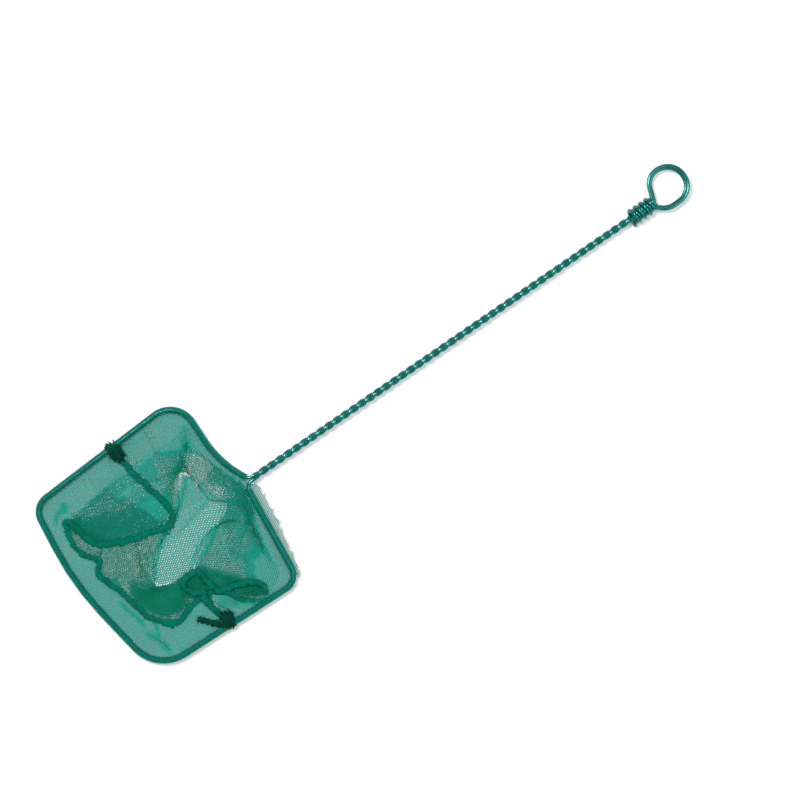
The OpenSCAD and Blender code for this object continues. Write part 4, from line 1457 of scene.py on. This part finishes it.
@dataclass
class RolledSeam:
    """The two panels' edges rolled together, and the overlock thread round them."""

    finishes: Finishes
    half_width: float = 1.6
    half_height: float = 0.55
    base_z: float = -3.05
    # heights over the base, with the numbers of the fold stations where they hold
    lift_at: tuple[float, ...] = (0, 1, 2.5, 26, 28, 32, 35, 41, 42)
    lifts: tuple[float, ...] = (1.2, 0.5, 0, 0, 0.35, 0.9, 1, 1.1, 2)
    sides: int = 14
    sways: tuple[Ripple, ...] = (Ripple(0.42, 4.2, 34), Ripple(0.42, 4.2, 35))
    widths: tuple[Ripple, ...] = (Ripple(0.2, 7, 36), Ripple(0.2, 2.2, 37))
    skins: tuple[Ripple, ...] = (Ripple(0.16, 1.3, 31), Ripple(0.12, 0.7, 32))
    thread_r: float = 0.15
    thread_pitch: float = 1.15
    thread_off: float = 0.12
    thread_reach: float = 1.14
    thread_slips: Ripple = Ripple(0.9, 5, 38)
    thread_waves: tuple[Ripple, ...] = (Ripple(0.3, 2.2, 33),)
    hairs: int = 800
    hair_r: float = 0.09
    hair_foot: float = 0.8
    hair_spread: float = 0.6
    hair_rise: float = 0.3
    hair_seed: int = 39
    hair_ends: LooseEnds = LooseEnds(0.9, 40)

    def line(self) -> Array:
        """Middle line of the seam, from the upper tack to the lower one."""
        rows = np.array([s.seam for s in STATIONS])
        flat = smooth_through(rows, 10)
        station = np.linspace(0, len(STATIONS) - 1, len(flat))
        lift = np.interp(station, self.lift_at, self.lifts)
        return respaced(np.column_stack([flat, self.base_z + lift]), 0.5)

    def build(self) -> None:
        """Rolls the edges, winds the thread and frays it."""
        line = self.line()
        line[:, :2] += np.stack([sway.at(line) for sway in self.sways], -1)
        self.roll(line)
        self.overlock(line)
        self.fray(line)

    def roll(self, line: Array) -> None:
        """The rolled edges: a flat roll whose width and skin are uneven."""
        side, up = frames_along(line)
        sides, n = self.sides, len(line)
        angle = TURN * np.arange(sides) / sides
        swell = uneven(line, self.widths)
        out = (swell[:, None, None] * (self.half_width * np.cos(angle)[None, :, None] * side[:, None]
                                       + self.half_height * np.sin(angle)[None, :, None] * up[:, None]))
        rings = (line[:, None] + out).reshape(-1, 3)
        grow = uneven(rings, self.skins)[:, None]
        verts = np.vstack([np.repeat(line, sides, axis=0) + out.reshape(-1, 3) * grow, line[:1], line[-1:]])
        i, j = np.meshgrid(np.arange(n - 1), np.arange(sides), indexing="ij")
        a, b = i * sides + j, i * sides + (j + 1) % sides
        quads = np.stack([a, b, b + sides, a + sides], -1).reshape(-1, 4)
        k = np.arange(sides)
        caps = np.concatenate([np.stack([np.full(sides, n * sides), (k + 1) % sides, k], 1),
                               np.stack([np.full(sides, n * sides + 1), (n - 1) * sides + k,
                                         (n - 1) * sides + (k + 1) % sides], 1)])
        roll = mesh_piece("seam_roll", verts, quads, caps)
        dressed(roll, self.finishes.seam, "sewing_thread", "bag_seam")

    def overlock(self, line: Array) -> None:
        """The thread wound over the roll, wider and narrower as the sewing was."""
        fine = respaced(line, 0.12)
        turn = TURN * arc_of(fine) / self.thread_pitch + self.thread_slips.at(fine)
        reach = uneven(fine, self.thread_waves, mean=self.thread_reach)
        path = coiled(fine, turn, self.half_width * reach, (self.half_height + self.thread_off) * reach)
        thread_piece("seam_overlock", [path], self.thread_r, 0, self.finishes.seam, "sewing_thread")

    def fray(self, line: Array) -> None:
        """Short cut threads that stand out of the seam."""
        rng = np.random.default_rng(self.hair_seed)
        pick = rng.integers(1, len(line) - 1, self.hairs)
        side, _ = frames_along(line)
        out = rng.choice([-1, 1], self.hairs)[:, None] * side[pick]
        bend = rng.normal(scale=self.hair_spread, size=(self.hairs, 3)) * [1, 1, self.hair_rise]
        hairs = self.hair_ends.lines(line[pick] + out * self.half_width * self.hair_foot, out + bend)
        thread_piece("seam_fray", hairs, self.hair_r, 0, self.finishes.seam, "sewing_thread")


@dataclass
class SideTack:
    """Thread wound and knotted round the hem where an end of the seam is bunched."""

    name: str
    node: str
    place: Array
    inward: int
    width: float
    reach: float
    finishes: Finishes
    seed: int
    height: float = 3.1
    shift: Place = (0.6, 2.9, -0.3)
    bunch_share: float = 0.86
    lumps: tuple[Ripple, ...] = (Ripple(0.3, 1.3, 0), Ripple(0.14, 0.45, 1))
    turns: int = 34
    turn_points: int = 24
    fineness: int = 5
    swings: float = 2.7
    swing_drift: Point = (0.5, 9)
    swing_share: float = 0.92
    taper: float = 1.15
    wander: float = 0.0075
    tightness: float = 0.88
    loops: tuple[Ripple, ...] = (Ripple(0.34, 3, 0),)
    loop_run: float = 60.0
    thread_r: float = 0.24
    ends: int = 40
    end_r: float = 0.2
    end_rise: float = 0.3
    end_foot: float = 0.8
    end_height: float = 2.6
    end_len: float = 1.9

    def build(self) -> None:
        """Makes the bunched netting, the winding over it and the loose ends."""
        rng = np.random.default_rng(self.seed)
        centre = np.append(self.place, 0.0) + np.array(self.shift) * [1, self.inward, 1]
        bpy.ops.object.select_all(action="DESELECT")
        bpy.ops.mesh.primitive_ico_sphere_add(subdivisions=self.fineness, radius=1.0)
        core = bpy.context.object
        co = np.zeros(len(core.data.vertices) * 3)
        core.data.vertices.foreach_get("co", co)
        co = co.reshape(-1, 3)
        sizes = np.array([self.width / 2, self.reach, self.height]) * self.bunch_share
        co = co * uneven(co, self.lumps, self.seed)[:, None] * sizes
        core.data.vertices.foreach_set("co", ((co + centre + PLACE) * MM).ravel())
        core.data.update()
        core.name = core.data.name = f"{self.name}_bunch"
        bpy.ops.object.shade_smooth()
        dress = self.finishes.tack, "tack_thread"
        dressed(core, *dress, self.node)
        count = self.turns * self.turn_points
        at = np.linspace(0, 1, count)
        turn = TURN * self.turns * at
        sway = np.cumsum(rng.normal(size=count)) * self.wander
        sway -= np.linspace(sway[0], sway[-1], count)
        drift = self.swing_drift[0] * np.sin(self.swing_drift[1] * at)
        swing = np.sin(TURN * self.swings * at + drift)
        along = self.width / 2 * self.swing_share * swing + sway
        pinch = np.sqrt(np.clip(1 - (along / (self.width / 2 * self.taper)) ** 2, 0.1, 1))
        path = np.stack([along, self.reach * pinch * np.cos(turn), self.height * pinch * np.sin(turn)], -1)
        run = np.stack([at * self.loop_run, at], -1)
        path *= uneven(run, self.loops, self.seed, self.tightness)[:, None]
        thread_piece(f"{self.name}_thread", [path + centre], self.thread_r, 1, *dress)
        ways = ways_around(rng, self.ends, self.end_rise)
        starts = centre + ways * [self.width / 2, self.reach, self.end_height] * self.end_foot
        ends = LooseEnds(self.end_len, self.seed + 2).lines(starts, ways)
        thread_piece(f"{self.name}_ends", ends, self.end_r, 0, *dress)


@dataclass
class RawEdge:
    """The near panel's raw hem, which stands out past the wire, and the frayed loops of the hem."""

    form: WireForm
    finishes: Finishes
    reach: float = 6.2
    height: float = -1.66
    knit: Knit = field(default_factory=lambda: Knit(1.3, 0.25))
    seed: int = 29
    span: tuple[float, float] = (0.02, 0.985)
    # how wide the strip is, as shares of its reach, at shares of the hoop's straight side
    shape_at: tuple[float, ...] = (0.02, 0.05, 0.2, 0.42, 0.6, 0.8, 0.93, 0.985)
    shape: tuple[float, ...] = (0.1, 0.45, 0.62, 0.9, 0.96, 1, 0.98, 0.6)
    rows: int = 7
    widths: tuple[Ripple, ...] = (Ripple(0.12, 6, 61), Ripple(0.08, 2.2, 62))
    waves: Ripple = Ripple(0.12, 7, 63)
    hairs: int = 60
    hair_r: float = 0.09
    hair_seed: int = 64
    strip_ends: LooseEnds = LooseEnds(1.2, 65)
    # loops of the hem also stand out of the hoop where X is greater and Y is less than these
    loops_from: Point = (-66, -50)
    loops_off: float = 0.9
    loop_ends: LooseEnds = LooseEnds(1.1, 66)

    def build(self) -> list[Piece]:
        """Knits the raw strip and frays it."""
        corners = self.form.hoop_corners()
        along = np.linspace(*self.span, 61)
        line = corners[7] + along[:, None] * (corners[8] - corners[7])
        out = -left_of(unit(line[-1] - line[0]))
        shape = np.interp(along, self.shape_at, self.shape)
        wide = self.reach * shape * uneven(line, self.widths)
        share = np.linspace(0, 1, self.rows)
        off = wide[:, None] * share
        flat = np.stack([np.broadcast_to(arc_of(line)[:, None], off.shape), off], -1)
        space = line[:, None] + off[..., None] * out
        wave = self.waves.at(space.reshape(-1, 2)).reshape(off.shape)
        space = np.concatenate([space, (self.height + wave * share)[..., None]], -1)
        strip = self.knit.piece("raw_hem_strip", flat, space, self.seed)
        # with no layers value on them, the strip and its threads take the netting's painted light of a lone
        # layer
        dress = self.finishes.netting, "netting"
        made = [dressed(strip, *dress, "raw_hem_edge")]
        rng = np.random.default_rng(self.hair_seed)
        count = self.hairs
        out = np.append(out, 0)
        edge = space[rng.integers(1, len(line) - 1, count), -1] - out * 0.3
        ways = out + rng.normal(scale=0.5, size=(count, 3)) * [1, 1, 0.2]
        ends = self.strip_ends.lines(edge, ways)
        hoop = respaced(self.form.hoop_line(), 1.0)
        low = hoop[(hoop[:, 1] < self.loops_from[1]) & (hoop[:, 0] > self.loops_from[0])]
        starts = np.column_stack([low[rng.integers(0, len(low), count)], np.zeros(count)])
        starts -= [0, self.loops_off, self.loops_off]
        ways = np.array([0, -1.0, -0.3]) + rng.normal(scale=0.5, size=(count, 3)) * [1, 0.5, 0.3]
        ends += self.loop_ends.lines(starts, ways)
        made.append(thread_piece("frayed_threads", ends, self.hair_r, 0, *dress))
        return made


@dataclass
class SeamTail:
    """The loose tail of the seam's thread chain."""

    finishes: Finishes
    route: tuple[Place, ...] = (
        (-57.6, -60.2, 0.7), (-60.4, -57.6, 0.4), (-62.6, -55.4, -0.2), (-65.2, -52.4, -1.0),
        (-67.0, -50.6, -1.5), (-69.5, -47.6, -1.8))
    loop_r: float = 1.4
    loop_pitch: float = 2.3
    flatness: float = 0.7
    threads: int = 3
    thread_r: float = 0.36
    slips: Ripple = Ripple(0.6, 4, 71)
    widths: tuple[Ripple, ...] = (Ripple(0.42, 2.2, 75),)
    hairs: int = 46
    hair_r: float = 0.11
    hair_rise: float = 0.4
    hair_seed: int = 79
    hair_ends: LooseEnds = LooseEnds(2.0, 80)

    def build(self) -> None:
        """Winds the chain's threads and leaves a few ends."""
        line = respaced(smooth_through(np.array(self.route), ROUTE_PARTS), 0.12)
        at = arc_of(line)
        lines = []
        for k in range(self.threads):
            turn = TURN * (at / self.loop_pitch + k / self.threads) + self.slips.at(line, k)
            reach = self.loop_r * uneven(line, self.widths, k)
            lines.append(coiled(line, turn, reach, self.flatness * reach))
        dress = self.finishes.tack, "tack_thread"
        thread_piece("seam_tail_chain", lines, self.thread_r, 1, *dress, "seam_tail")
        rng = np.random.default_rng(self.hair_seed)
        pick = rng.integers(10, len(line), self.hairs)
        ends = self.hair_ends.lines(line[pick], ways_around(rng, self.hairs, self.hair_rise))
        thread_piece("seam_tail_fray", ends, self.hair_r, 0, *dress)


@dataclass(frozen=True)
class Lamp:
    """One soft square lamp that points at the net."""

    name: str
    place: Place
    size: float
    power: float

    def build(self) -> None:
        """Adds the lamp."""
        bpy.ops.object.light_add(type="AREA", location=self.place)
        lamp = bpy.context.object
        lamp.name = self.name
        lamp.data.size = self.size
        lamp.data.energy = self.power
        way = -unit(np.array(self.place))
        lamp.rotation_euler = (math.acos(-way[2]), 0, math.atan2(way[1], way[0]) - math.pi / 2)


@dataclass
class Stage:
    """Pale ground, soft light and the camera straight above."""

    width_mm: float = 447.0
    ground_size: float = 6.0
    ground_gap: float = 0.00005
    lens: float = 100.0
    middle: Point = (2.5, -9.6)
    roll: float = -34.44
    ground_share: float = 0.9
    glow: float = 0.12
    sky: float = 0.38
    lamps: tuple[Lamp, ...] = (Lamp("key", (-0.12, 0.5, 1.25), 0.45, 14.0),
                               Lamp("fill", (0.55, -0.45, 1.1), 0.7, 5.5))

    def build(self) -> None:
        """Makes the ground, the lights and the camera."""
        bpy.ops.object.select_all(action="DESELECT")
        bpy.ops.mesh.primitive_plane_add(size=self.ground_size, location=(0, 0, -self.ground_gap))
        ground = bpy.context.object
        ground.name = "ground"
        ground.data.materials.append(self.ground_finish())
        scene = bpy.context.scene
        scene.world = self.sky_world()
        for lamp in self.lamps:
            lamp.build()
        lens = bpy.data.cameras.new("above")
        lens.lens = self.lens
        lens.clip_end = 20
        eye = bpy.data.objects.new("above", lens)
        scene.collection.objects.link(eye)
        distance = self.width_mm * MM * self.lens / lens.sensor_width
        eye.location = (self.middle[0] * MM, self.middle[1] * MM, distance + PLACE[2] * MM)
        eye.rotation_euler = (0, 0, math.radians(self.roll))
        scene.camera = eye
        scene.view_settings.view_transform = "Standard"

    def ground_finish(self) -> Material:
        """Matt pale ground that the camera sees a little brighter."""
        made, tree, shader = blank("pale_ground")
        set_inputs(shader, Base_Color=(*[self.ground_share] * 3, 1), Roughness=0.9, Specular_IOR_Level=0.1)
        camera = add(tree, "ShaderNodeLightPath").outputs["Is Camera Ray"]
        glow = add(tree, "ShaderNodeEmission", Strength=self.glow)
        plus = add(tree, "ShaderNodeAddShader")
        choose = add(tree, "ShaderNodeMixShader")
        plain, out = shader.outputs[0], tree.nodes["Material Output"]
        join(tree, (plain, plus.inputs[0]), (glow.outputs[0], plus.inputs[1]), (camera, choose.inputs[0]),
             (plain, choose.inputs[1]), (plus.outputs[0], choose.inputs[2]),
             (choose.outputs[0], out.inputs["Surface"]))
        return made

    def sky_world(self) -> bpy.types.World:
        """White surroundings for the camera, and a soft even light for the net."""
        world = bpy.data.worlds.new("studio")
        world.use_nodes = True
        tree = world.node_tree
        camera = add(tree, "ShaderNodeLightPath").outputs["Is Camera Ray"]
        light = tree.nodes["Background"]
        join(tree, (ramp(tree, camera, 0, 1, self.sky, 1.0), light.inputs["Strength"]))
        set_inputs(light, Color=(1, 1, 1, 1))
        return world


def main() -> None:
    """Builds the net piece by piece and sets the stage."""
    logging.basicConfig(level=logging.INFO, format="%(message)s")
    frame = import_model()
    Stage().build()
    finishes = Finishes()
    form = WireForm()
    CoatedFrame(form, finishes).build(frame["nodes"])
    bag = Bag(form, finishes)
    bag.build()
    hems = Hem(form, finishes).build()
    far_hems = [piece for piece in hems if piece.name.endswith("_far")]
    near_hems = [piece for piece in hems if piece not in far_hems]
    RolledSeam(finishes).build()
    upper, lower = form.tacks()
    SideTack("upper_tack", "side_tack_upper", upper, -1, 8.0, 5.8, finishes, 41).build()
    SideTack("lower_tack", "side_tack_lower", lower, 1, 7.0, 5.2, finishes, 47).build()
    near_hems += RawEdge(form, finishes).build()
    bag.declare()
    SeamTail(finishes).build()


if __name__ == "__main__":
    main()
